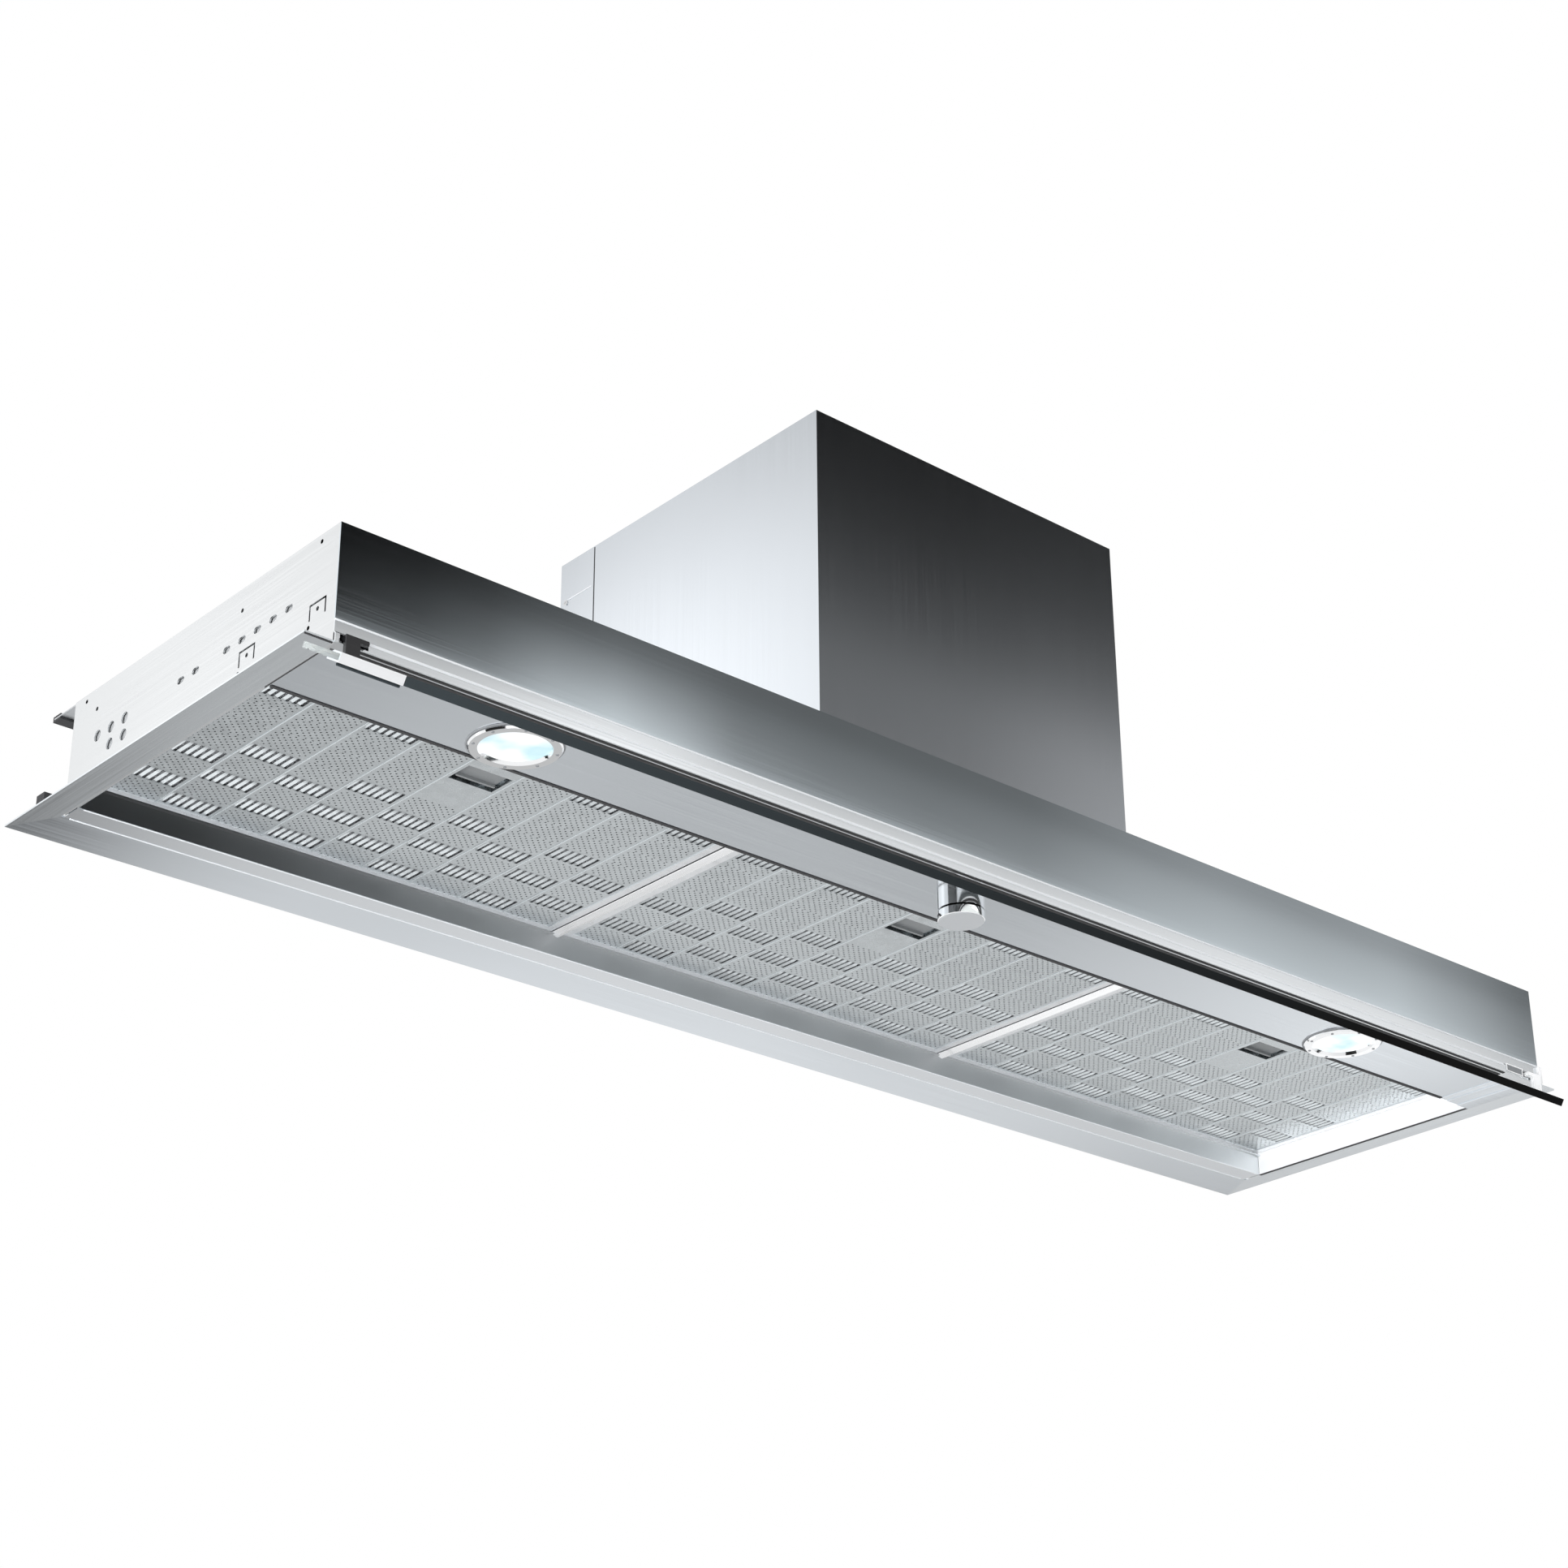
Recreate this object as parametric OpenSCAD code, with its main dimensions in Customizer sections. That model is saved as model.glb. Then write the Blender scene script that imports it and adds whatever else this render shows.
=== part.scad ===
// Built-in range hood: a canopy between cupboards, a fan housing above it,
// three grease filters below, two lamps, a control knob and a pull-out glass vapour screen.
// Millimetres. Front is -Y, up is +Z. The origin is the bottom centre of the bounding box.

/* [Canopy] */
// Width between the outer faces of the side panels
body_w = 1156; // [1100:1:1200]
// Depth from the front face to the rear panel
body_d = 310; // [305:1:325]
// Height of the front panel above its trim
panel_h = 65; // [60:1:75]
// Thickness of the folded sheet
sheet = 1; // [0.8:0.1:1.2]
// Depth of the folds along the sheet edges
fold = 15; // [12:1:18]
// Reach of the rear lip behind the rear panel
lip_d = 28; // [24:1:32]
// Free depth between the rear panel and the wall
wall_gap = 42; // [38:1:48]

/* [Flange] */
// Width of the flange outside the side panels
flange_w = 20; // [16:1:24]
// Thickness of the flange strips
flange_t = 1.2; // [1:0.1:1.5]
// Width of the return band behind the filter recess
band_w = 18; // [15:1:20]

/* [Side panel] */
// Height of the upper row of holes above the flange
row_z = 44; // [40:1:50]
// Distance from the front face to the first slot
slot_first_y = 52; // [48:1:56]
// Pitch of the slots
slot_pitch = 17.3; // [16:0.1:18]
// Distance from the front face to the pair of slots
pair_y = 157; // [150:1:162]
// Half the width of a slot
slot_r = 2.2; // [2:0.1:2.6]
// Length of a slot
slot_len = 8; // [7:0.5:9]
// Radius of a vent hole
vent_r = 4; // [3:0.5:5]
// Pitch of the vent holes
vent_pitch = 17; // [15:1:18]
// Distance from the first vent hole to the rear panel
vent_inset = 68; // [64:1:74]
// Drop from the upper row of vent holes to the lower one
vent_drop = 12; // [10:1:13]
// Distance from the front face to the front lanced tab
tab_y = 20; // [18:1:24]
// Distance from the front face to the rear lanced tab
tab_2_y = 97; // [94:1:100]
// Height of the lanced tabs above the flange
tab_z = 25; // [22:1:26]
// Width of a lanced tab
tab_w = 18; // [16:1:20]
// Height of a lanced tab
tab_h = 11; // [9:0.5:12]

/* [Front trim] */
// Height of the front trim
trim_h = 16; // [14:1:18]
// Depth of the front trim
trim_d = 13; // [12.5:0.5:13.5]
// Wall of the front trim
trim_wall = 1.2; // [1:0.1:1.4]
// Height of the stepped lower face
step_h = 6; // [5.8:0.1:6.5]
// Reach of the stepped lower face in front of the panel
step_d = 1.5; // [1:0.1:2]
// Width of the window for a screen arm
window_w = 20; // [19:0.5:21]
// Height of the window for a screen arm
window_h = 4.6; // [4.4:0.1:4.7]

/* [Filter recess] */
// Distance from the front face to the recess
recess_y = 71; // [69:1:73]
// Distance from the recess to the rear panel
recess_rear_land = 14; // [12:1:18]
// Height of the filter faces above the flange
recess_h = 17; // [16.5:0.5:22]
// Width of the bars between the filters
bar_w = 8; // [6:1:10]
// Depth of the ledge under the rear edge of the filters
ledge_d = 3; // [2.5:0.5:4]

/* [Filters] */
// Thickness of a filter
filter_t = 9; // [8:0.5:10]
// Width of the lip round a filter
filter_lip = 6; // [5:0.5:8]
// Wall of the filter frame
filter_wall = 0.8; // [0.6:0.1:1]
// Thickness of the slotted face
face_t = 0.9; // [0.8:0.1:1.2]
// Width of one slot
slot_w = 3.2; // [2:0.1:3.4]
// Gap between filters and what is beside them
filter_gap = 1; // [0.8:0.1:1.4]
// Width of the latch pocket
pocket_w = 34; // [30:1:35]
// Depth of the latch pocket
pocket_d = 24; // [22:1:28]
// Distance from the filter edge to the latch pocket
pocket_y = 40; // [36:1:44]
// Travel of a latch
latch_travel = 5; // [4:0.5:6]

/* [Lamps] */
// Radius of a lamp ring
lamp_r = 30; // [28:0.5:30]
// Radius of the clear opening in a lamp ring
lens_r = 22.6; // [21:0.2:22.8]
// Distance of the left lamp from the left side panel
lamp_left_inset = 161; // [150:1:200]
// Distance of the right lamp from the right side panel
lamp_right_inset = 198; // [150:1:200]
// Distance from the front face to the lamp centres
lamp_y = 40.5; // [40:0.5:41]
// Height of a lamp can above the flange
lamp_h = 24; // [20:1:30]

/* [Knob] */
// Radius of the knob
knob_r = 16.5; // [15:0.5:18]
// Height of the knob below the lamp panel
knob_h = 16; // [15:0.5:18]
// Distance of the knob to the left of the middle
knob_off = 38; // [0:1:40]
// Distance from the front face to the knob
knob_y = 35; // [33:0.5:38]
// Radius of the knob stem
stem_r = 3; // [2.8:0.1:3.2]
// Travel of the knob when it is pressed
knob_travel = 1.2; // [1:0.1:1.3]

/* [Vapour screen] */
// Depth of the glass along its slope
glass_d = 18; // [17:0.5:19]
// Thickness of the glass
glass_t = 4; // [3.5:0.5:4]
// Reach of the glass past the side panels
glass_over = 17; // [12:1:20]
// Slope of the glass
screen_slope = 31.8; // [30:0.2:33]
// Distance of the edge profile in front of the front face
screen_reach = 10; // [9.5:0.5:11]
// Distance of the edge profile below the flange
screen_drop = 14.6; // [14.4:0.2:16]
// Height of the edge profile
edge_h = 6; // [5.5:0.5:6.5]
// Depth of the edge profile
edge_d = 8; // [7:0.5:9]
// Length of the clamps on the glass
clamp_l = 45; // [40:1:50]
// Width of a screen arm
arm_w = 16; // [14:0.5:16.5]
// Thickness of a screen arm
arm_t = 3; // [2.6:0.1:3.1]
// Travel of the screen when it is pulled out
screen_travel = 40; // [30:1:42]

/* [Fan housing] */
// Width of the housing
housing_w = 308; // [300:1:316]
// Distance from the front face to the housing
housing_y = 50; // [46:1:52]
// Height of the housing above the canopy
housing_h = 279; // [275:1:320]
// Depth of the rear channel of the housing
channel_d = 42; // [38:1:46]

/* [Wiring] */
// Width of the terminal box
box_w = 90; // [80:1:100]
// Depth of the terminal box
box_d = 60; // [50:1:70]
// Height of the terminal box
box_h = 34; // [30:1:40]
// Distance from the housing to the terminal box
box_gap = 60; // [50:1:80]
// Distance from the front face to the terminal box
box_y = 186; // [170:1:200]
// Radius of the cable gland
gland_r = 9; // [8:0.5:10]
// Radius of the bore in the cable gland
gland_bore_r = 5; // [4:0.5:6]
// Length of the cable gland
gland_l = 16; // [14:1:20]

/* [Outlet] */
// Outer radius of the duct collar
collar_r = 74.5; // [70:0.5:75]
// Wall of the duct collar
collar_wall = 1.5; // [1.2:0.1:2]
// Height of the duct collar
collar_h = 30; // [28:1:36]
// Radius of the flap spindle
spindle_r = 2; // [1.8:0.1:2.2]
// Thickness of a flap
flap_t = 1; // [0.8:0.1:1.2]

/* [Fan] */
// Radius of the impeller
impeller_r = 80; // [76:1:82]
// Width of the impeller
impeller_w = 120; // [110:1:126]
// Width of the scroll
scroll_w = 150; // [144:1:156]
// Wall of the scroll
scroll_wall = 2; // [1.8:0.1:2.4]
// Radius of the scroll inlets
inlet_r = 66; // [62:1:68]
// Radius of the motor
motor_r = 42; // [38:1:46]
// Distance from the front face to the fan axis
fan_y = 160; // [158:1:164]
// Height of the fan axis above the canopy
fan_h = 124; // [120:1:128]

/* [Hidden] */
// Number of segments of a full circle
$fn = 48;

// Overrun of every cut past the face it opens
over = 0.5 * sheet;
// Gap of a piece that rests on another
seat = 0.3 * sheet;
// Radial gap of a shaft that turns in a bore
run_gap = 0.06 * sheet;
// Gap beside sliding pieces
slide_gap = 0.4 * sheet;

// Shares of one whole
half_share = 0.5;
mirror_share = -1;

half_w = body_w * half_share;
top_z = trim_h + panel_h;
plate_z = top_z - sheet;
wall_y = body_d + wall_gap;
recess_rear_y = body_d - recess_rear_land;
band_y = recess_rear_y + band_w;
inner_x = half_w - 2 * sheet;
housing_top_z = plate_z + housing_h + sheet;
housing_x = housing_w * half_share;
channel_y = wall_y - channel_d;

// Frame shift that puts the origin at the bottom centre of the bounding box
edge_front_share = 0.4;
edge_front = edge_d * edge_front_share;
clamp_wall = 1.2 * sheet;
clamp_half = max(glass_t * half_share + clamp_wall, edge_h * half_share);
front_reach = screen_reach + edge_front * cos(screen_slope) + clamp_half * sin(screen_slope);
bottom_drop = screen_drop + edge_front * sin(screen_slope) + clamp_half * cos(screen_slope);
shift_y = mirror_share * (wall_y - front_reach) * half_share;
shift_z = bottom_drop;

// Filters
filter_count = 3;
filter_pitch = 2 * inner_x / filter_count;
filter_w = filter_pitch - bar_w - 2 * filter_gap;
filter_y = recess_y + filter_gap;
filter_d = recess_rear_y - recess_y - 2 * filter_gap;
filter_z = recess_h + seat;
face_z = filter_z + filter_wall;
pocket_h = filter_t - 2 * filter_wall - 2 * seat;
pocket_wall = filter_wall;
slot_columns = 9;
slot_rows = 9;
slots_per_block = 5;
rib_w = 1.2 * sheet;
rib_h = 0.5 * sheet;
slot_length_share = 0.82;
slide_bar_share = 0.4;
slide_bar_w = pocket_w * slide_bar_share;
slide_bar_t = 1.4 * sheet;
slide_bar_z = face_z + face_t + 1.2 * sheet;

// Screen
glass_half = half_w + glass_over;
arm_x = half_w - 3 * sheet - window_w * half_share;
arm_z = trim_wall + (window_h - arm_t) * half_share;
window_z = trim_wall;
panel_front_y = trim_d + seat;
guide_y = panel_front_y + 2 * sheet;
guide_wall = 1.2 * sheet;
arm_rear_y = guide_y + screen_travel + 6 * sheet;
clamp_left_x = mirror_share * (half_w + 3 * sheet);
edge_left_x = clamp_left_x + clamp_l;

// Lamps and knob
lamp_left_x = lamp_left_inset - half_w;
lamp_right_x = half_w - lamp_right_inset;
ring_t = 2.5 * sheet;
sleeve_r = lens_r + 2.6 * sheet;
sleeve_h = 12 * sheet;
sleeve_wall = 1.2 * sheet;
lens_t = 3 * sheet;
can_wall = sheet;
collar_split = knob_h * half_share;
knob_gap = knob_travel + 0.2 * sheet;
knob_x = mirror_share * knob_off;
switch_h = 25 * sheet;

// Fan
fan_z = plate_z + fan_h;
scroll_r0 = impeller_r + 8 * sheet;
scroll_growth = 30 * sheet;
tongue_angle = 100;
spiral_end = 360;
spiral_steps = 30;
scroll_out_z = housing_top_z - sheet;
tongue_y = fan_y + scroll_r0 * cos(tongue_angle);
scroll_rear_y = fan_y + scroll_r0 + scroll_growth;
duct_y = (tongue_y + scroll_rear_y) * half_share;
blade_count = 30;
blade_t = 1.2 * sheet;
blade_depth = 14 * sheet;
ring_h = 3 * sheet;
clip_gap = 0.1 * sheet;
full_turn = 360;
shaft_r = 5 * sheet;
motor_gap = 4 * sheet;

// Outlet
collar_in = collar_r - collar_wall;
collar_foot = 10 * sheet;
stop_w = 3.5 * sheet;
spindle_share = 0.3;
spindle_z = housing_top_z + collar_h * spindle_share;
knuckle_wall = 1.6 * sheet;
knuckle_r = spindle_r + run_gap + knuckle_wall;
flap_r = collar_in - 2 * sheet;
knuckle_share = 0.36;
knuckle_l = flap_r * knuckle_share;
knuckle_gap = 0.5 * sheet;

module placed() {
    translate([0, shift_y, shift_z])
        children();
}

// A box from one corner to the opposite one
module block(low, high) {
    translate(low)
        cube([high[0] - low[0], high[1] - low[1], high[2] - low[2]]);
}

// A profile drawn in Y and Z, pulled along X between two places
module rail(x_from, x_to) {
    translate([x_from, 0, 0])
        rotate([90, 0, 90])
            linear_extrude(height = x_to - x_from)
                children();
}

// A profile drawn in X and Z, pulled along Y between two places
module beam(y_from, y_to) {
    translate([0, y_to, 0])
        rotate([90, 0, 0])
            linear_extrude(height = y_to - y_from)
                children();
}

// A round bar along X, Y or Z
module rod_x(r, len) {
    rotate([0, 90, 0])
        cylinder(r = r, h = len);
}

module rod_y(r, len) {
    rotate([-90, 0, 0])
        cylinder(r = r, h = len);
}

// An oblong hole through a side panel, along Y
module side_slot(y, z, r, len) {
    run = len - 2 * r;
    translate([half_w - sheet - over, y - run * half_share, z])
        rod_x(r, sheet + 2 * over);
    translate([half_w - sheet - over, y + run * half_share, z])
        rod_x(r, sheet + 2 * over);
    block([half_w - sheet - over, y - run * half_share, z - r],
          [half_w + over, y + run * half_share, z + r]);
}

module side_hole(y, z, r) {
    translate([half_w - sheet - over, y, z])
        rod_x(r, sheet + 2 * over);
}

// Places of the punched holes on a side panel
slot_count = 5;
vent_y = body_d - vent_inset;
pip_r = 1.5 * sheet;
tab_slit = 1.4 * sheet;

// A lanced tab: a slit round three sides
module lanced_tab(y) {
    difference() {
        block([half_w - sheet - over, y - tab_w * half_share, tab_z],
              [half_w + over, y + tab_w * half_share, tab_z + tab_h]);
        block([half_w - sheet - 2 * over, y - tab_w * half_share + tab_slit, tab_z - over],
              [half_w + 2 * over, y + tab_w * half_share - tab_slit, tab_z + tab_h - tab_slit]);
    }
    side_hole(y, tab_z + tab_h * half_share, pip_r);
    side_hole(y + tab_w * half_share, tab_z - 4 * sheet, pip_r);
}

module side_panel() {
    difference() {
        union() {
            block([half_w - sheet, sheet, 0], [half_w, body_d, top_z]);
            block([half_w - fold, fold + sheet, plate_z], [half_w, body_d, top_z]);
            block([half_w - fold, sheet, trim_h + 2 * sheet],
                  [half_w, 2 * sheet, plate_z - sheet - seat]);
        }
        for (i = [0 : slot_count - 1]) {
            side_slot(slot_first_y + i * slot_pitch, row_z, slot_r, slot_len);
        }
        for (i = [0 : 1]) {
            side_slot(pair_y + i * slot_pitch, row_z, slot_r, slot_len);
        }
        for (i = [0 : 2]) {
            side_hole(vent_y + i * vent_pitch, row_z, vent_r);
        }
        for (i = [0 : 1]) {
            side_hole(vent_y + i * vent_pitch, row_z - vent_drop, vent_r);
        }
        side_hole(tab_y, plate_z - 4 * sheet, pip_r);
        side_hole(tab_2_y + tab_w * half_share, plate_z - fold, pip_r);
        side_hole(body_d - 2 * fold, plate_z - fold, pip_r);
        side_hole(body_d - fold, plate_z - 4 * sheet, pip_r);
        lanced_tab(tab_y);
        lanced_tab(tab_2_y);
    }
}

module side_right() color("gainsboro") placed() side_panel();

module side_left() color("gainsboro") placed() mirror([1, 0, 0]) side_panel();

// Top plate with the air hole below the housing and the long rear lip
air_front_y = housing_y + 2 * fold;
air_rear_y = body_d - 2 * fold;
air_x = housing_x - 2 * fold;

module canopy_top() color("silver") placed()
    difference() {
        union() {
            block([sheet - half_w, sheet, plate_z - sheet], [half_w - sheet, body_d, plate_z]);
            block([mirror_share * half_w, body_d, plate_z - sheet], [half_w, body_d + lip_d, plate_z]);
        }
        block([mirror_share * air_x, air_front_y, plate_z - sheet - over],
              [air_x, air_rear_y, plate_z + over]);
    }

module canopy_rear() color("silver") placed()
    block([sheet - half_w, body_d - sheet, sheet], [half_w - sheet, body_d, plate_z - sheet]);

// What the side panels take away from a front piece
module room_for_sides() {
    for (side = [0, 1]) {
        mirror([side, 0, 0])
            block([half_w - sheet, sheet, mirror_share * over], [half_w + over, fold + over, top_z + over]);
    }
}

// Front panel with a fold along the top and another above the trim
module front_panel() color("dimgray") placed()
    difference() {
        rail(mirror_share * half_w, half_w)
            polygon([
                [0, trim_h], [fold, trim_h], [fold, trim_h + sheet], [sheet, trim_h + sheet],
                [sheet, plate_z], [fold, plate_z], [fold, top_z], [0, top_z]
            ]);
        room_for_sides();
    }

// Stepped trim along the front, with a window for a screen arm at each end
module front_trim() color("lightgray") placed()
    difference() {
        rail(mirror_share * half_w, half_w)
            polygon([
                [0, trim_h],
                [0, step_h + step_d],
                [mirror_share * step_d, step_h],
                [mirror_share * step_d, 0],
                [trim_d, 0],
                [trim_d, trim_wall],
                [trim_wall - step_d, trim_wall],
                [trim_wall - step_d, step_h],
                [trim_wall, step_h + step_d],
                [trim_wall, trim_h - trim_wall],
                [fold - sheet, trim_h - trim_wall],
                [fold - sheet, trim_h]
            ]);
        room_for_sides();
        for (side = [-1, 1]) {
            block([side * arm_x - window_w * half_share, mirror_share * step_d - over, window_z],
                  [side * arm_x + window_w * half_share, over, window_z + window_h]);
        }
    }

// Rubber blocks that sit in a shallow square seat of the flange, behind the side panels
block_w = 10 * sheet;
block_h = 11 * sheet;
block_x = half_w + flange_w * half_share;
block_y = body_d + sheet;
block_seat_z = flange_t * half_share;

module stop_block() {
    block([block_x - block_w * half_share, block_y, block_seat_z],
          [block_x + block_w * half_share, block_y + block_w, flange_t + block_h]);
}

module stop_block_left() color("black") placed() mirror([1, 0, 0]) stop_block();

module stop_block_right() color("black") placed() stop_block();

// Flange strips, mitred at the rear corners
module flange_plan() {
    difference() {
        linear_extrude(height = flange_t)
            polygon([
                [half_w, 0],
                [half_w + flange_w, 0],
                [half_w + flange_w, wall_y],
                [half_w, band_y]
            ]);
        block([block_x - block_w * half_share, block_y, block_seat_z],
              [block_x + block_w * half_share, block_y + block_w, flange_t + over]);
    }
}

module flange_right() color("lightgray") placed() flange_plan();

module flange_left() color("lightgray") placed() mirror([1, 0, 0]) flange_plan();

module rear_strip() color("gainsboro") placed()
    union() {
        linear_extrude(height = flange_t)
            polygon([
                [mirror_share * (half_w + flange_w), wall_y],
                [mirror_share * half_w, band_y],
                [half_w, band_y],
                [half_w + flange_w, wall_y]
            ]);
        block([mirror_share * (half_w + flange_w - fold), wall_y - flange_t, 0],
              [half_w + flange_w - fold, wall_y, fold]);
    }

// Rear wall of the recess: return band, upright and the ledge for the filters
module recess_rear() color("gray") placed()
    rail(mirror_share * inner_x, inner_x)
        polygon([
            [recess_rear_y, 0],
            [band_y, 0],
            [band_y, sheet],
            [recess_rear_y + sheet, sheet],
            [recess_rear_y + sheet, recess_h],
            [recess_rear_y - ledge_d, recess_h],
            [recess_rear_y - ledge_d, recess_h - sheet],
            [recess_rear_y, recess_h - sheet]
        ]);

// Side wall of the recess, stepped in above the filter face
module recess_side() {
    beam(sheet, recess_rear_y - seat)
        polygon([
            [inner_x, 0],
            [half_w - sheet, 0],
            [half_w - sheet, recess_h + sheet],
            [inner_x - bar_w * half_share + sheet, recess_h + sheet],
            [inner_x - bar_w * half_share + sheet, recess_h + filter_t],
            [inner_x - bar_w * half_share, recess_h + filter_t],
            [inner_x - bar_w * half_share, recess_h],
            [inner_x, recess_h]
        ]);
}

module recess_wall() {
    difference() {
        recess_side();
        block([half_w - bar_w - sheet, 0, mirror_share * over], [inner_x, recess_y, recess_h + filter_t + over]);
        block([inner_x - over, 0, trim_h - trim_wall], [half_w, recess_y, recess_h + filter_t + over]);
        block([inner_x - over, 0, mirror_share * over], [half_w, trim_d + seat, recess_h + filter_t + over]);
    }
}

module recess_right() color("white") placed() recess_wall();

module recess_left() color("white") placed() mirror([1, 0, 0]) recess_wall();

// Lamp panel with its upturned rear edge, which is the front wall of the recess
module lamp_panel() color("lightgray") placed()
    difference() {
        union() {
            block([mirror_share * inner_x, panel_front_y, 0], [inner_x, recess_y, sheet]);
            block([mirror_share * inner_x, recess_y - sheet, 0],
                  [inner_x, recess_y, recess_h + filter_t]);
            block([mirror_share * (arm_x - window_w), panel_front_y, 0],
                  [arm_x - window_w, panel_front_y + sheet, trim_h - 2 * trim_wall]);
        }
        for (x = [lamp_left_x, lamp_right_x]) {
            translate([x, lamp_y, mirror_share * over])
                cylinder(r = sleeve_r + seat, h = sheet + 2 * over);
        }
        translate([knob_x, knob_y, mirror_share * over])
            cylinder(r = stem_r + sheet, h = sheet + 2 * over);
        for (i = [-1, 0, 1]) {
            block([i * filter_pitch - slide_bar_w * half_share - sheet,
                   recess_y - sheet - over, slide_bar_z - sheet],
                  [i * filter_pitch + slide_bar_w * half_share + sheet,
                   recess_y + over, slide_bar_z + slide_bar_t + sheet]);
        }
    }

// Channel between two filters, open at the top
module cross_bar(x) {
    translate([x, 0, 0])
        beam(recess_y, recess_rear_y)
            polygon([
                [mirror_share * bar_w * half_share, recess_h],
                [bar_w * half_share, recess_h],
                [bar_w * half_share, recess_h + filter_t],
                [bar_w * half_share - sheet, recess_h + filter_t],
                [bar_w * half_share - sheet, recess_h + sheet],
                [sheet - bar_w * half_share, recess_h + sheet],
                [sheet - bar_w * half_share, recess_h + filter_t],
                [mirror_share * bar_w * half_share, recess_h + filter_t]
            ]);
}

module cross_bar_left() color("white") placed() cross_bar(mirror_share * filter_pitch * half_share);

module cross_bar_right() color("white") placed() cross_bar(filter_pitch * half_share);

// Channels that carry the screen arms, open below
module arm_guide(side) {
    translate([side * arm_x, 0, 0])
        beam(guide_y, recess_y - sheet)
            polygon([
                [mirror_share * (arm_w * half_share + slide_gap + guide_wall), sheet],
                [mirror_share * (arm_w * half_share + slide_gap), sheet],
                [mirror_share * (arm_w * half_share + slide_gap), arm_z + arm_t + slide_gap],
                [arm_w * half_share + slide_gap, arm_z + arm_t + slide_gap],
                [arm_w * half_share + slide_gap, sheet],
                [arm_w * half_share + slide_gap + guide_wall, sheet],
                [arm_w * half_share + slide_gap + guide_wall, arm_z + arm_t + slide_gap + guide_wall],
                [mirror_share * (arm_w * half_share + slide_gap + guide_wall),
                 arm_z + arm_t + slide_gap + guide_wall]
            ]);
}

module guide_left() color("dimgray") placed() arm_guide(-1);

module guide_right() color("dimgray") placed() arm_guide(1);

// Soft edge trim along the rear lip, on both sides of the housing
seal_t = 1.5 * sheet;
seal_d = 8 * sheet;

module lip_seal() color("black") placed()
    for (side = [0, 1]) {
        mirror([side, 0, 0])
            rail(housing_x + 2 * sheet, half_w)
                polygon([
                    [body_d + lip_d - seal_d, plate_z],
                    [body_d + lip_d, plate_z],
                    [body_d + lip_d, plate_z - sheet],
                    [body_d + lip_d - seal_d, plate_z - sheet],
                    [body_d + lip_d - seal_d, plate_z - sheet - seal_t],
                    [body_d + lip_d + seal_t, plate_z - sheet - seal_t],
                    [body_d + lip_d + seal_t, plate_z + seal_t],
                    [body_d + lip_d - seal_d, plate_z + seal_t]
                ]);
    }

// Housing: a folded cover in front, a channel at the rear and a top plate
module housing_cover() color("slategray") placed()
    difference() {
        block([mirror_share * housing_x, housing_y, plate_z],
              [housing_x, channel_y - seat, housing_top_z]);
        block([sheet - housing_x, housing_y + sheet, plate_z + sheet],
              [housing_x - sheet, channel_y, housing_top_z + over]);
        block([fold - housing_x, housing_y + fold, plate_z - over],
              [housing_x - fold, channel_y, plate_z + 2 * sheet]);
    }

module housing_back() color("slategray") placed()
    difference() {
        block([mirror_share * housing_x, channel_y, plate_z], [housing_x, wall_y, housing_top_z]);
        block([sheet - housing_x, channel_y - over, plate_z + sheet],
              [housing_x - sheet, wall_y - sheet, housing_top_z + over]);
        block([fold - housing_x, channel_y - over, plate_z - over],
              [housing_x - fold, wall_y - fold, plate_z + 2 * sheet]);
    }

module housing_top() color("slategray") placed()
    difference() {
        block([sheet - housing_x, housing_y + sheet, housing_top_z - sheet],
              [housing_x - sheet, wall_y - sheet, housing_top_z]);
        translate([0, duct_y, housing_top_z - sheet - over])
            cylinder(r = collar_in, h = sheet + 2 * over);
    }

// Duct collar with its foot, a stop ring for the flaps and two bores for the spindle
module outlet_collar() color("dimgray") placed()
    translate([0, duct_y, 0])
        difference() {
            rotate_extrude()
                polygon([
                    [collar_in, housing_top_z],
                    [collar_r + collar_foot, housing_top_z],
                    [collar_r + collar_foot, housing_top_z + collar_wall],
                    [collar_r, housing_top_z + collar_wall],
                    [collar_r, housing_top_z + collar_h],
                    [collar_in, housing_top_z + collar_h],
                    [collar_in, spindle_z - flap_t * half_share - seat],
                    [collar_in - stop_w, spindle_z - flap_t * half_share - seat],
                    [collar_in - stop_w, spindle_z - flap_t * half_share - seat - collar_wall],
                    [collar_in, spindle_z - flap_t * half_share - seat - collar_wall]
                ]);
            for (side = [-1, 1]) {
                block([mirror_share * (knuckle_r + sheet), side * collar_in - stop_w - over,
                       spindle_z - knuckle_r - sheet],
                      [knuckle_r + sheet, side * collar_in + stop_w * (1 - side) * half_share - over * side,
                       spindle_z - flap_t * half_share]);
            }
        }

module flap_spindle() color("silver") placed()
    translate([0, duct_y - collar_in + seat, spindle_z])
        rod_y(spindle_r, 2 * (collar_in - seat));

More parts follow.
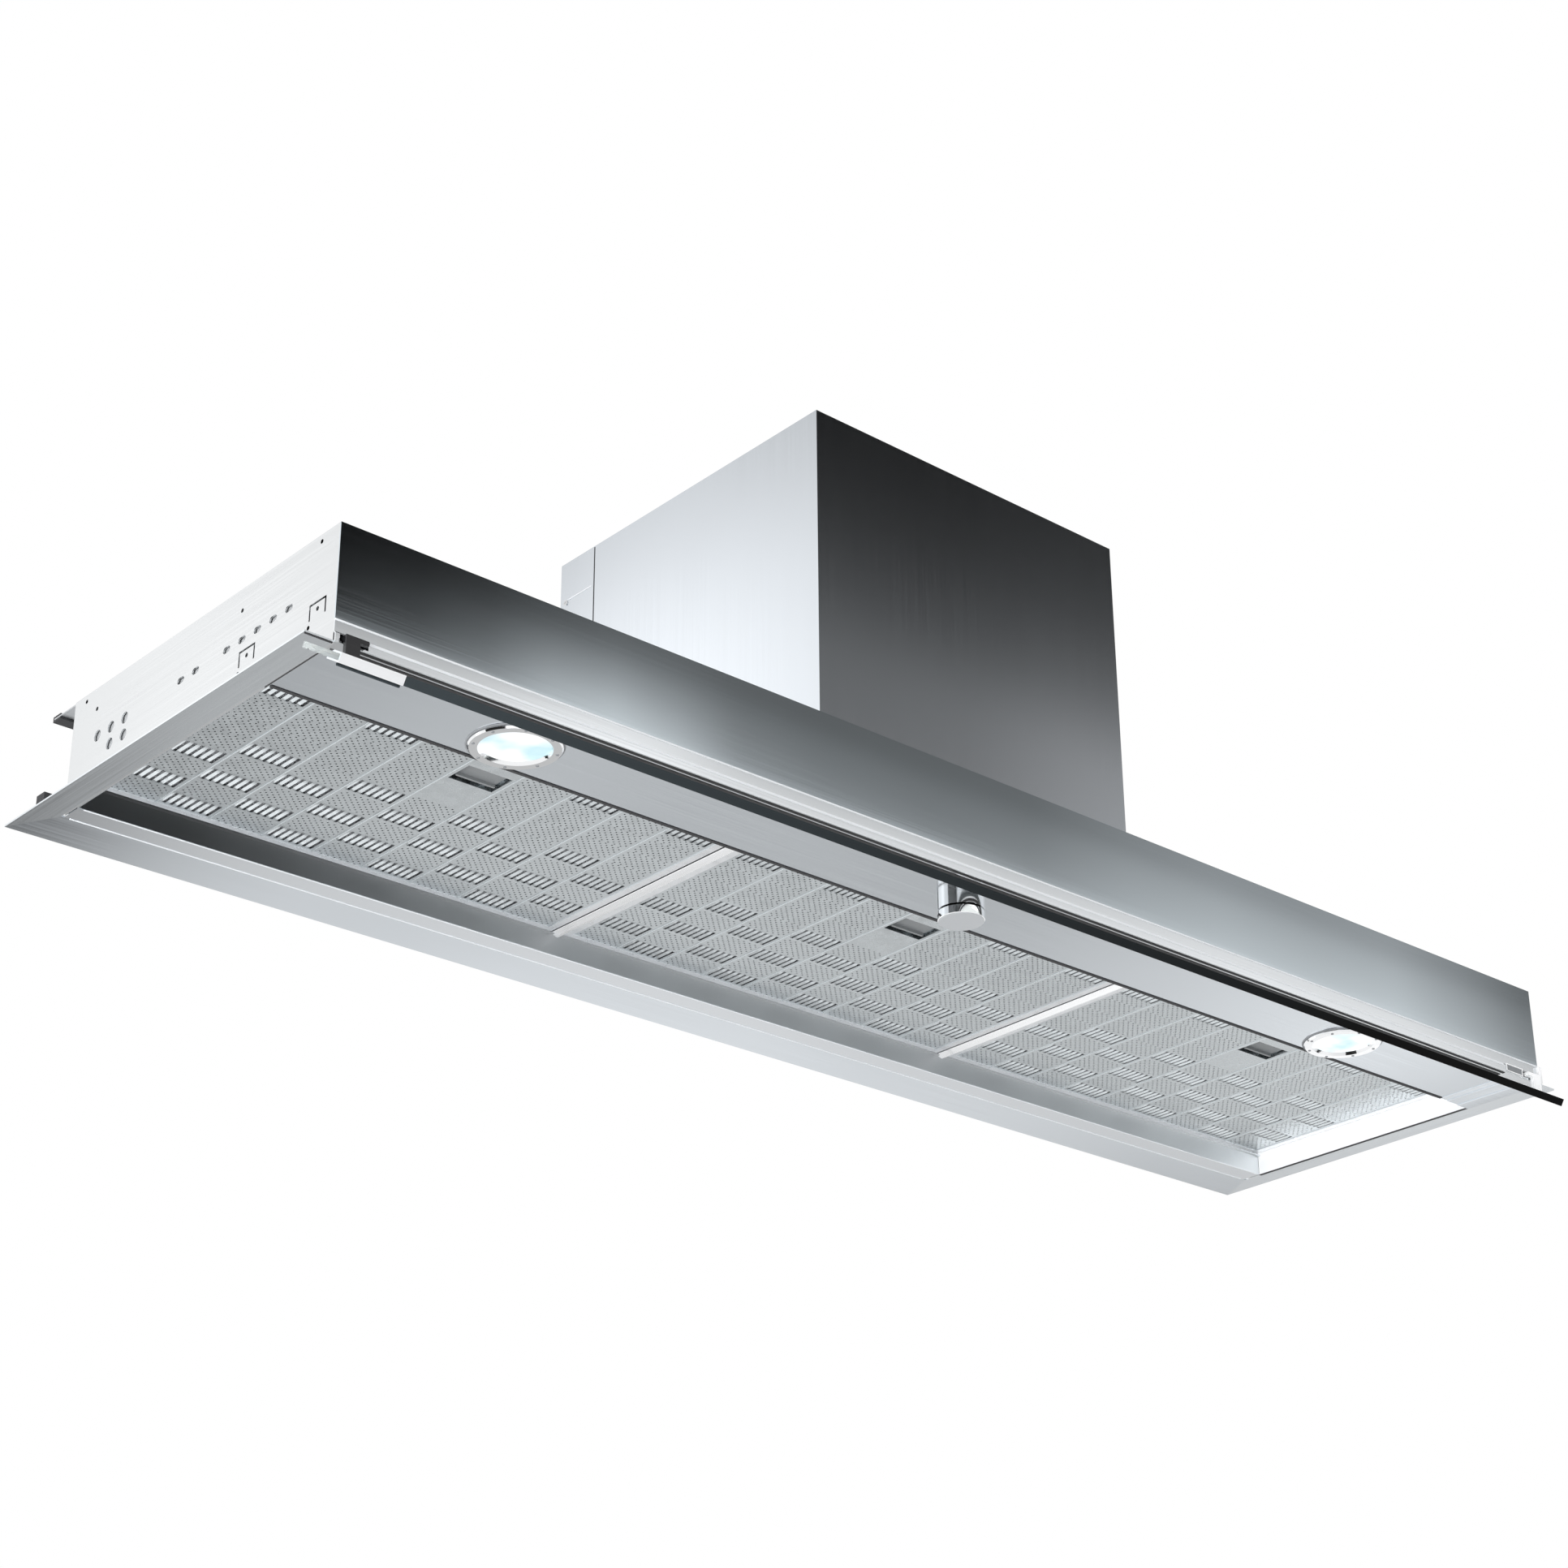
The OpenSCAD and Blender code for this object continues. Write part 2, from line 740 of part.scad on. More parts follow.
// Half-round flap with two knuckles on the spindle, at places counted in knuckle lengths
module flap(places) {
    difference() {
        union() {
            intersection() {
                translate([0, 0, mirror_share * flap_t * half_share])
                    cylinder(r = flap_r, h = flap_t);
                block([knuckle_r + sheet, mirror_share * flap_r, mirror_share * flap_t],
                      [flap_r, flap_r, flap_t]);
            }
            for (place = places) {
                translate([0, place * knuckle_l + knuckle_gap * half_share, 0]) {
                    rod_y(knuckle_r, knuckle_l - knuckle_gap);
                    block([0, 0, mirror_share * flap_t * half_share],
                          [knuckle_r + 2 * sheet, knuckle_l - knuckle_gap, flap_t * half_share]);
                }
            }
        }
        translate([0, mirror_share * flap_r, 0])
            rod_y(spindle_r + run_gap, 2 * flap_r);
    }
}

module flap_right() color("gray") placed() translate([0, duct_y, spindle_z]) flap([-2, 0]);

module flap_left() color("gray") placed()
    translate([0, duct_y, spindle_z])
        mirror([1, 0, 0])
            flap([-1, 1]);

// Outline of the scroll, grown outwards by a wall: a spiral that ends in the upright outlet
function spiral_r(step) = scroll_r0 + scroll_growth * step / spiral_steps;

function spiral_angle(step) = tongue_angle + (spiral_end - tongue_angle) * step / spiral_steps;

module scroll_outline(wall) {
    polygon(concat(
        [for (step = [0 : spiral_steps])
            [fan_y + (spiral_r(step) + wall) * cos(spiral_angle(step)),
             fan_z + (spiral_r(step) + wall) * sin(spiral_angle(step))]],
        [[scroll_rear_y + wall, scroll_out_z], [tongue_y - wall, scroll_out_z]]
    ));
}

scroll_x = scroll_w * half_share;

module fan_scroll() color("lightslategray") placed()
    difference() {
        rail(mirror_share * scroll_x, scroll_x)
            scroll_outline(scroll_wall);
        rail(scroll_wall - scroll_x, scroll_x - scroll_wall)
            scroll_outline(0);
        block([scroll_wall - scroll_x, tongue_y, scroll_out_z - over],
              [scroll_x - scroll_wall, scroll_rear_y, scroll_out_z + over]);
        translate([mirror_share * scroll_x - over, fan_y, fan_z])
            rod_x(inlet_r, scroll_w + 2 * over);
    }

// Motor inside the left half of the impeller, carried by three arms on the left inlet
motor_x = mirror_share * scroll_x - scroll_wall;
arm_count = 3;
arm_thick = 3 * sheet;
arm_wide = 14 * sheet;

module fan_motor() color("darkslategray") placed()
    translate([0, fan_y, fan_z]) {
        difference() {
            translate([motor_x - arm_thick, 0, 0])
                rod_x(motor_r, mirror_share * motor_x + arm_thick - ring_h - motor_gap);
            translate([motor_x * half_share, 0, 0])
                rod_x(shaft_r + sheet, mirror_share * motor_x);
        }
        for (i = [0 : arm_count - 1]) {
            rotate([i * full_turn / arm_count, 0, 0])
                block([motor_x - arm_thick, mirror_share * arm_wide * half_share, 0],
                      [mirror_share * scroll_x - seat, arm_wide * half_share, inlet_r + 2 * arm_wide]);
        }
    }

// One forward-curved blade as an arc of even thickness
blade_steps = 5;
blade_turn = 12;

function blade_point(step, side) =
    let (part = step / blade_steps)
    let (r = impeller_r - sheet - blade_depth * part)
    let (a = blade_turn * part * part)
    [(r * cos(a)) - side * blade_t * half_share * sin(a),
     (r * sin(a)) + side * blade_t * half_share * cos(a)];

module blade_outline() {
    polygon(concat(
        [for (step = [0 : blade_steps]) blade_point(step, 1)],
        [for (step = [blade_steps : -1 : 0]) blade_point(step, -1)]
    ));
}

module wheel_ring(x) {
    translate([x, 0, 0])
        difference() {
            rod_x(impeller_r, ring_h);
            translate([mirror_share * over, 0, 0])
                rod_x(impeller_r - blade_depth, ring_h + 2 * over);
        }
}

// Blades of the double-inlet wheel, clipped between its two end rings
blade_x = impeller_w * half_share - ring_h - clip_gap;

module impeller() color("steelblue") placed()
    translate([0, fan_y, fan_z])
        for (i = [0 : blade_count - 1]) {
            rotate([i * full_turn / blade_count, 0, 0])
                rail(mirror_share * blade_x, blade_x)
                    blade_outline();
        }

// Frame of the wheel: a middle disc on its shaft and the two end rings
module wheel_frame() color("slategray") placed()
    translate([0, fan_y, fan_z]) {
        wheel_ring(mirror_share * impeller_w * half_share);
        wheel_ring(impeller_w * half_share - ring_h);
        translate([mirror_share * ring_h * half_share, 0, 0])
            rod_x(impeller_r - sheet - blade_depth - seat, ring_h);
        translate([motor_x * half_share + motor_gap, 0, 0])
            rod_x(shaft_r, motor_gap + ring_h - motor_x * half_share);
    }

// Terminal box and cable gland on the right of the housing, lamp driver on the left
box_x = housing_x + box_gap;
nose_share = 0.8;
driver_share = 0.6;

module terminal_box() color("dimgray") placed()
    difference() {
        block([box_x, box_y, plate_z], [box_x + box_w, box_y + box_d, plate_z + box_h]);
        block([box_x + 2 * sheet, box_y + 2 * sheet, plate_z + 2 * sheet],
              [box_x + box_w - 2 * sheet, box_y + box_d - 2 * sheet, plate_z + box_h - 2 * sheet]);
        translate([box_x + box_w - 3 * sheet, box_y + box_d * half_share, plate_z + box_h * half_share])
            rod_x(gland_bore_r, 4 * sheet);
    }

module cable_gland() color("black") placed()
    translate([box_x + box_w, box_y + box_d * half_share, plate_z + box_h * half_share])
        difference() {
            union() {
                rotate([0, 90, 0])
                    cylinder(r = gland_r, h = gland_l * half_share, $fn = 6);
                rod_x(gland_r * nose_share, gland_l);
            }
            translate([mirror_share * over, 0, 0])
                rod_x(gland_bore_r, gland_l + 2 * over);
        }

module lamp_driver() color("white") placed()
    union() {
        block([mirror_share * (box_x + box_w), box_y, plate_z],
              [mirror_share * box_x, box_y + box_d * driver_share, plate_z + box_h * driver_share]);
        block([mirror_share * (box_x + box_w + fold), box_y, plate_z],
              [fold - box_x, box_y + box_d * driver_share, plate_z + 2 * sheet]);
    }

// A lamp: ring with a sleeve, glass and can, drawn as profiles in radius and height
crown_share = 0.6;
shoulder_share = 0.8;

module lamp_ring(x) {
    translate([x, lamp_y, 0])
        rotate_extrude()
            polygon([
                [lens_r, 0],
                [lens_r + sheet, mirror_share * ring_t],
                [lamp_r - sheet, mirror_share * ring_t],
                [lamp_r, mirror_share * ring_t * half_share],
                [lamp_r, 0],
                [sleeve_r, 0],
                [sleeve_r, sleeve_h],
                [sleeve_r - sleeve_wall, sleeve_h],
                [sleeve_r - sleeve_wall, 0]
            ]);
}

module lamp_lens(x) {
    translate([x, lamp_y, 0])
        rotate_extrude()
            polygon([
                [0, mirror_share * shoulder_share * sheet],
                [lens_r * crown_share, mirror_share * crown_share * sheet],
                [lens_r - sheet, 0],
                [sleeve_r - sleeve_wall - seat, seat],
                [sleeve_r - sleeve_wall - seat, lens_t],
                [0, lens_t]
            ]);
}

module lamp_can(x) {
    translate([x, lamp_y, 0])
        rotate_extrude()
            polygon([
                [sleeve_r - sleeve_wall - seat, lens_t + seat],
                [sleeve_r - sleeve_wall - seat, lamp_h * shoulder_share],
                [sleeve_r * crown_share, lamp_h],
                [0, lamp_h],
                [0, lamp_h - can_wall],
                [sleeve_r * crown_share - can_wall, lamp_h - can_wall],
                [sleeve_r - sleeve_wall - seat - can_wall, lamp_h * shoulder_share - can_wall],
                [sleeve_r - sleeve_wall - seat - can_wall, lens_t + seat]
            ]);
}

module lamp_ring_left() color("silver") placed() lamp_ring(lamp_left_x);

module lamp_ring_right() color("silver") placed() lamp_ring(lamp_right_x);

module lamp_lens_left() color("white") placed() lamp_lens(lamp_left_x);

module lamp_lens_right() color("white") placed() lamp_lens(lamp_right_x);

module lamp_can_left() color("gray") placed() lamp_can(lamp_left_x);

module lamp_can_right() color("gray") placed() lamp_can(lamp_right_x);

// Knob: a fixed collar, the switch above the panel, the stem and the turning cap
module knob_collar() color("silver") placed()
    translate([knob_x, knob_y, mirror_share * collar_split])
        difference() {
            cylinder(r = knob_r, h = collar_split);
            translate([0, 0, mirror_share * over])
                cylinder(r = stem_r + sheet, h = collar_split + 2 * over);
        }

module rotary_switch() color("black") placed()
    difference() {
        block([knob_x - knob_r, knob_y - knob_r, sheet], [knob_x + knob_r, knob_y + knob_r, sheet + switch_h]);
        translate([knob_x, knob_y, sheet - over])
            cylinder(r = stem_r + run_gap, h = switch_h - sheet);
    }

module knob_stem() color("gray") placed()
    translate([knob_x, knob_y, 2 * sheet - knob_h])
        cylinder(r = stem_r, h = knob_h + switch_h - 4 * sheet);

module knob_cap() color("silver") placed()
    translate([knob_x, knob_y, 0])
        difference() {
            rotate_extrude()
                polygon([
                    [0, mirror_share * knob_h],
                    [knob_r - sheet, mirror_share * knob_h],
                    [knob_r, sheet - knob_h],
                    [knob_r, mirror_share * collar_split - knob_gap],
                    [0, mirror_share * collar_split - knob_gap]
                ]);
            translate([0, 0, 2 * sheet - knob_h])
                cylinder(r = stem_r + run_gap, h = knob_h);
        }

// Vapour screen: the sloping glass, its front edge profile and two arms with clamps
module on_slope() {
    translate([0, mirror_share * screen_reach, mirror_share * screen_drop])
        rotate([screen_slope, 0, 0])
            children();
}

module screen_glass() color("lightcyan") placed()
    on_slope()
        block([mirror_share * glass_half, 2 * sheet, mirror_share * glass_t * half_share],
              [glass_half, glass_d, glass_t * half_share]);

module screen_edge() color("black") placed()
    on_slope()
        difference() {
            block([edge_left_x + seat, mirror_share * edge_front, mirror_share * edge_h * half_share],
                  [glass_half - 6 * sheet, edge_d - edge_front, edge_h * half_share]);
            block([edge_left_x - over, 2 * sheet - seat, mirror_share * glass_t * half_share - seat * half_share],
                  [glass_half, edge_d, glass_t * half_share + seat * half_share]);
        }

// Arm through the trim window, with a drop to a clamp that grips the glass.
// The left clamp wraps the glass, the right one is a plate bonded to its upper face.
drop_share = 0.62;
drop_w = 10 * sheet;
drop_y = mirror_share * step_d - sheet - arm_t;

module screen_arm(side, x_from, x_to, y_from, slot_y, slot_low) {
    drop_x = side * (arm_x + (arm_w - drop_w) * half_share);
    difference() {
        union() {
            block([side * arm_x - arm_w * half_share, drop_y, arm_z],
                  [side * arm_x + arm_w * half_share, arm_rear_y, arm_z + arm_t]);
            block([drop_x - drop_w * half_share, drop_y, mirror_share * screen_drop * drop_share],
                  [drop_x + drop_w * half_share, drop_y + arm_t, arm_z + arm_t]);
            on_slope()
                block([x_from, y_from, mirror_share * clamp_half],
                      [x_to, glass_d - 6 * sheet, clamp_half]);
        }
        on_slope()
            block([x_from - over, slot_y, slot_low],
                  [x_to + over, glass_d + over, glass_t * half_share]);
    }
}

module screen_arm_left() color("gainsboro") placed()
    screen_arm(-1, clamp_left_x, edge_left_x, mirror_share * edge_front, clamp_wall - edge_front,
               mirror_share * glass_t * half_share);

module screen_arm_right() color("gainsboro") placed()
    screen_arm(1, arm_x - arm_w, arm_x + arm_w * half_share, edge_d - edge_front + seat, 0,
               mirror_share * (clamp_half + over));

// Filters
function filter_x(i) = (i - 2) * filter_pitch;

module filter_frame(i) {
    x = filter_x(i);
    x0 = x - filter_w * half_share;
    x1 = x + filter_w * half_share;
    difference() {
        block([x0, filter_y, filter_z], [x1, filter_y + filter_d, filter_z + filter_t]);
        block([x0 + filter_wall, filter_y + filter_wall, filter_z + filter_wall],
              [x1 - filter_wall, filter_y + filter_d - filter_wall, filter_z + filter_t - filter_wall]);
        block([x0 + filter_lip, filter_y + filter_lip, filter_z - over],
              [x1 - filter_lip, filter_y + filter_d - filter_lip, filter_z + filter_t + over]);
        block([x - slide_bar_w * half_share - slide_gap, filter_y - over, slide_bar_z - slide_gap],
              [x + slide_bar_w * half_share + slide_gap, filter_y + 2 * filter_wall,
               slide_bar_z + slide_bar_t + slide_gap]);
    }
}

// Slotted face in a chequer pattern, with raised ribs and the walls of the latch pocket
field_x = filter_w * half_share - filter_lip;
field_y = filter_y + filter_lip;
field_d = filter_d - 2 * filter_lip;
column_w = 2 * field_x / slot_columns;
row_d = field_d / slot_rows;
slot_step = (column_w - rib_w) / slots_per_block;
latch_column = 4;
plain_rows = 3;

module slot_field() {
    for (column = [0 : slot_columns - 1]) {
        for (row = [0 : slot_rows - 1]) {
            plain = column == latch_column && row <= plain_rows;
            if ((column + row) % 2 == 0 && !plain) {
                for (k = [0 : slots_per_block - 1]) {
                    translate([column * column_w - field_x + rib_w * half_share
                               + (k + half_share) * slot_step - slot_w * half_share,
                               field_y + row * row_d + row_d * (1 - slot_length_share) * half_share])
                        square([slot_w, row_d * slot_length_share]);
                }
            }
        }
    }
}

pocket_front_y = filter_y + pocket_y;

module filter_face(i) {
    x = filter_x(i);
    translate([x, 0, 0])
        union() {
            translate([0, 0, face_z])
                linear_extrude(height = face_t)
                    difference() {
                        translate([filter_wall + seat - filter_w * half_share, filter_y + filter_wall + seat])
                            square([filter_w - 2 * filter_wall - 2 * seat,
                                    filter_d - 2 * filter_wall - 2 * seat]);
                        slot_field();
                        translate([mirror_share * pocket_w * half_share, pocket_front_y])
                            square([pocket_w, pocket_d]);
                    }
            for (column = [1 : slot_columns - 1]) {
                block([column * column_w - field_x - rib_w * half_share, field_y + seat, face_z - rib_h],
                      [column * column_w - field_x + rib_w * half_share,
                       field_y + field_d - seat, face_z + over]);
            }
            difference() {
                block([mirror_share * (pocket_w * half_share + pocket_wall), pocket_front_y - pocket_wall,
                       face_z + face_t * half_share],
                      [pocket_w * half_share + pocket_wall, pocket_front_y + pocket_d + pocket_wall,
                       filter_z + filter_t - filter_wall - seat]);
                block([mirror_share * pocket_w * half_share, pocket_front_y, face_z - over],
                      [pocket_w * half_share, pocket_front_y + pocket_d,
                       filter_z + filter_t - 2 * filter_wall - seat]);
                block([mirror_share * slide_bar_w * half_share - slide_gap, pocket_front_y - 2 * pocket_wall,
                       slide_bar_z - slide_gap],
                      [slide_bar_w * half_share + slide_gap, pocket_front_y + over,
                       slide_bar_z + slide_bar_t + slide_gap]);
            }
        }
}

// Layers of expanded mesh between the two faces, cut out round the latch
core_z = face_z + face_t + seat;

module filter_core(i) {
    x = filter_x(i);
    translate([x, 0, 0])
        difference() {
            block([filter_wall + seat - filter_w * half_share, filter_y + filter_wall + seat, core_z],
                  [filter_w * half_share - filter_wall - seat, filter_y + filter_d - filter_wall - seat,
                   filter_z + filter_t - filter_wall - seat]);
            block([mirror_share * (pocket_w * half_share + pocket_wall + seat), filter_y - over,
                   core_z - over],
                  [pocket_w * half_share + pocket_wall + seat,
                   pocket_front_y + pocket_d + pocket_wall + seat, filter_z + filter_t]);
        }
}

// Sliding latch: tongue, bar and finger plate in the pocket
module latch(i) {
    x = filter_x(i);
    plate_w = pocket_w - 4 * slide_gap - 2 * sheet;
    plate_d = pocket_d - latch_travel - 2 * sheet;
    translate([x, 0, 0])
        union() {
            block([mirror_share * slide_bar_w * half_share, filter_y - filter_gap + seat, slide_bar_z],
                  [slide_bar_w * half_share, pocket_front_y + sheet + plate_d, slide_bar_z + slide_bar_t]);
            block([mirror_share * plate_w * half_share, pocket_front_y + sheet, slide_bar_z],
                  [plate_w * half_share, pocket_front_y + sheet + plate_d, slide_bar_z + slide_bar_t]);
            block([mirror_share * plate_w * half_share, pocket_front_y + sheet + plate_d - 2 * sheet,
                   face_z],
                  [plate_w * half_share, pocket_front_y + sheet + plate_d, slide_bar_z + over]);
        }
}

module filter_1_frame() color("lightsteelblue") placed() filter_frame(1);

module filter_1_face() color("lightgray") placed() filter_face(1);

module filter_1_core() color("silver") placed() filter_core(1);

module latch_1() color("dimgray") placed() latch(1);

module filter_2_frame() color("lightsteelblue") placed() filter_frame(2);

module filter_2_face() color("lightgray") placed() filter_face(2);

module filter_2_core() color("silver") placed() filter_core(2);

module latch_2() color("dimgray") placed() latch(2);

module filter_3_frame() color("lightsteelblue") placed() filter_frame(3);

module filter_3_face() color("lightgray") placed() filter_face(3);

module filter_3_core() color("silver") placed() filter_core(3);

module latch_3() color("dimgray") placed() latch(3);

canopy_top();
side_left();
side_right();
canopy_rear();
front_panel();
front_trim();
flange_left();
flange_right();
rear_strip();
recess_rear();
recess_left();
recess_right();
lamp_panel();
cross_bar_left();
cross_bar_right();
stop_block_left();
stop_block_right();
guide_left();
guide_right();
lip_seal();
housing_cover();
housing_back();
housing_top();
outlet_collar();
flap_spindle();
flap_left();
flap_right();
fan_scroll();
fan_motor();
impeller();
wheel_frame();
terminal_box();
cable_gland();
lamp_driver();
lamp_ring_left();
lamp_lens_left();
lamp_can_left();
lamp_ring_right();
lamp_lens_right();
lamp_can_right();
knob_collar();
rotary_switch();
knob_stem();
knob_cap();
screen_glass();
screen_edge();
screen_arm_left();
screen_arm_right();
filter_1_frame();
filter_1_face();
filter_1_core();
latch_1();
filter_2_frame();
filter_2_face();
filter_2_core();
latch_2();
filter_3_frame();
filter_3_face();
filter_3_core();
latch_3();
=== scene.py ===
import math

import bpy
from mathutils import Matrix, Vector


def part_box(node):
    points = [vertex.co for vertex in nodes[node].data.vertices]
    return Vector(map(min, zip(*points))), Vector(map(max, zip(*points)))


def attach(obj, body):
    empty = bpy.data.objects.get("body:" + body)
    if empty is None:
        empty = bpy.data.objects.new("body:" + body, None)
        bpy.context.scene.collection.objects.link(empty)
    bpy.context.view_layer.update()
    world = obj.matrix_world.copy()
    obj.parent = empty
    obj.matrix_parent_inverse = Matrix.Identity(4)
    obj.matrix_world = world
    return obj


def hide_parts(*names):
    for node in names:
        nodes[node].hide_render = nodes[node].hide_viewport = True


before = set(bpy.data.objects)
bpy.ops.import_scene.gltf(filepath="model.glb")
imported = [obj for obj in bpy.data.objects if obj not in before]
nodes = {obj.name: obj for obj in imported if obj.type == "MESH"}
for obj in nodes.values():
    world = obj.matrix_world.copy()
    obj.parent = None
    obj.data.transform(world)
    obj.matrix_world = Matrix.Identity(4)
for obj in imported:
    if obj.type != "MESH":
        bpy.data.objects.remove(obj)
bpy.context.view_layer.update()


# The camera looks up at the hood from the left, below the front edge.
# Its lens and place come from the photograph, which is 1932 pixels wide and high.
camera_data = bpy.data.cameras.new("camera")
camera_data.lens = 71.23
camera_data.sensor_width = 36.0
camera_data.shift_x = -0.0399
camera_data.clip_start = 0.05
camera_data.clip_end = 60.0
camera = bpy.data.objects.new("camera", camera_data)
camera.location = (-1.4314, -1.5363, -0.8385)
camera.rotation_euler = (math.radians(115.657), math.radians(0.798), math.radians(-42.172))
bpy.context.collection.objects.link(camera)
bpy.context.scene.camera = camera
bpy.context.scene.view_settings.view_transform = "Standard"


# The studio: a white surround, a pale floor far below the hood and large soft lamps.
# The surround is white to the camera and in reflections, and lights the hood a little less.
def add_node(tree, kind, settings=None, **inputs):
    """Adds a shader node. Inputs are constants, or output sockets to link from; _0 is the first input."""
    made = tree.nodes.new(kind)
    for name, value in (settings or {}).items():
        setattr(made, name, value)
    for name, value in inputs.items():
        socket = made.inputs[int(name[1:])] if name[0] == "_" else made.inputs[name.replace("_", " ")]
        if isinstance(value, bpy.types.NodeSocket):
            tree.links.new(value, socket)
        else:
            socket.default_value = value
    return made


SURROUND_LIGHT = 0.62
world = bpy.data.worlds.new("studio")
bpy.context.scene.world = world
world.use_nodes = True
tree = world.node_tree
tree.nodes.clear()
rays = add_node(tree, "ShaderNodeLightPath")
seen = add_node(tree, "ShaderNodeMath", {"operation": "MAXIMUM"},
                _0=rays.outputs["Is Camera Ray"], _1=rays.outputs["Is Glossy Ray"])
seen = add_node(tree, "ShaderNodeMath", {"operation": "MAXIMUM"},
                _0=seen.outputs[0], _1=rays.outputs["Is Transmission Ray"])
strength = add_node(tree, "ShaderNodeMapRange", Value=seen.outputs[0], To_Min=SURROUND_LIGHT, To_Max=1.0)
surround = add_node(tree, "ShaderNodeBackground", Color=(1, 1, 1, 1), Strength=strength.outputs[0])
add_node(tree, "ShaderNodeOutputWorld", Surface=surround.outputs[0])

FLOOR_Z = -1.3
FLOOR_HALF = 6.0
FLOOR_FADE_START = 1.2
FLOOR_FADE_END = 4.5
bpy.ops.mesh.primitive_plane_add(size=2 * FLOOR_HALF, location=(0, 0, FLOOR_Z))
floor = bpy.context.object
floor.name = "floor"
floor_paint = bpy.data.materials.new("floor")
floor_paint.use_nodes = True
tree = floor_paint.node_tree
tree.nodes.clear()
place = add_node(tree, "ShaderNodeTexCoord")
away = add_node(tree, "ShaderNodeVectorMath", {"operation": "LENGTH"}, _0=place.outputs["Object"])
fade = add_node(tree, "ShaderNodeMapRange", {"interpolation_type": "SMOOTHSTEP"},
                Value=away.outputs["Value"], From_Min=FLOOR_FADE_START, From_Max=FLOOR_FADE_END)
matt = add_node(tree, "ShaderNodeBsdfDiffuse", Color=(0.86, 0.86, 0.87, 1))
glow = add_node(tree, "ShaderNodeEmission", Color=(1, 1, 1, 1), Strength=1.0)
faded = add_node(tree, "ShaderNodeMixShader", _0=fade.outputs[0], _1=matt.outputs[0], _2=glow.outputs[0])
under = add_node(tree, "ShaderNodeNewGeometry")
clear = add_node(tree, "ShaderNodeBsdfTransparent")
sided = add_node(tree, "ShaderNodeMixShader", _0=under.outputs["Backfacing"],
                 _1=faded.outputs[0], _2=clear.outputs[0])
add_node(tree, "ShaderNodeOutputMaterial", Surface=sided.outputs[0])
floor.data.materials.append(floor_paint)


def soft_lamp(name, at, towards, width, height, power):
    """A large area lamp that shines at a point and leaves no bright patch in polished metal."""
    data = bpy.data.lights.new(name, "AREA")
    data.shape = "RECTANGLE"
    data.size = width
    data.size_y = height
    data.energy = power
    lamp = bpy.data.objects.new(name, data)
    lamp.location = at
    lamp.rotation_euler = (Vector(towards) - Vector(at)).to_track_quat("-Z", "Y").to_euler()
    lamp.visible_glossy = False
    bpy.context.collection.objects.link(lamp)


HOOD_MIDDLE = (0, 0, 0.1)
FILTERS_MIDDLE = (0.2, 0, 0.03)
soft_lamp("lamp_left", at=(-2.6, -0.6, 0.6), towards=HOOD_MIDDLE, width=2.0, height=2.0, power=26)
soft_lamp("lamp_front", at=(0.6, -2.6, -0.4), towards=HOOD_MIDDLE, width=2.4, height=1.6, power=16)
soft_lamp("lamp_above", at=(0.4, 0.4, 2.6), towards=HOOD_MIDDLE, width=2.2, height=2.2, power=22)
soft_lamp("lamp_below", at=(-2.3, -0.7, -0.9), towards=FILTERS_MIDDLE, width=1.6, height=1.0, power=60)


# Graded cards that show only in reflections. One in front shades the front faces, one on the left
# the left faces, one below and behind the underside, and a dark one lies low on the left.
# Their brightness was set against the shades along each panel in the photograph.
def fill_ramp(ramp, stops):
    """Gives a colour ramp its stops, each a place from 0 to 1 and a colour."""
    elements = ramp.color_ramp.elements
    elements.remove(elements[1])
    for i, (at, colour) in enumerate(stops):
        stop = elements[0] if i == 0 else elements.new(at)
        stop.color = (*colour, 1)


def select_alone(piece):
    """Makes a piece the only selected one, and the active one."""
    bpy.ops.object.select_all(action="DESELECT")
    piece.select_set(True)
    bpy.context.view_layer.objects.active = piece


def new_piece(name, scale=(1, 1, 1)):
    """Names the primitive that was added last, and applies its place, turn and size."""
    piece = bpy.context.object
    select_alone(piece)
    piece.name = name
    piece.scale = scale
    bpy.ops.object.transform_apply(location=True, rotation=True, scale=True)
    return piece


def object_axes(tree):
    """The X, Y and Z of a point in the object's own frame."""
    place = add_node(tree, "ShaderNodeTexCoord")
    return add_node(tree, "ShaderNodeSeparateXYZ", Vector=place.outputs["Object"])


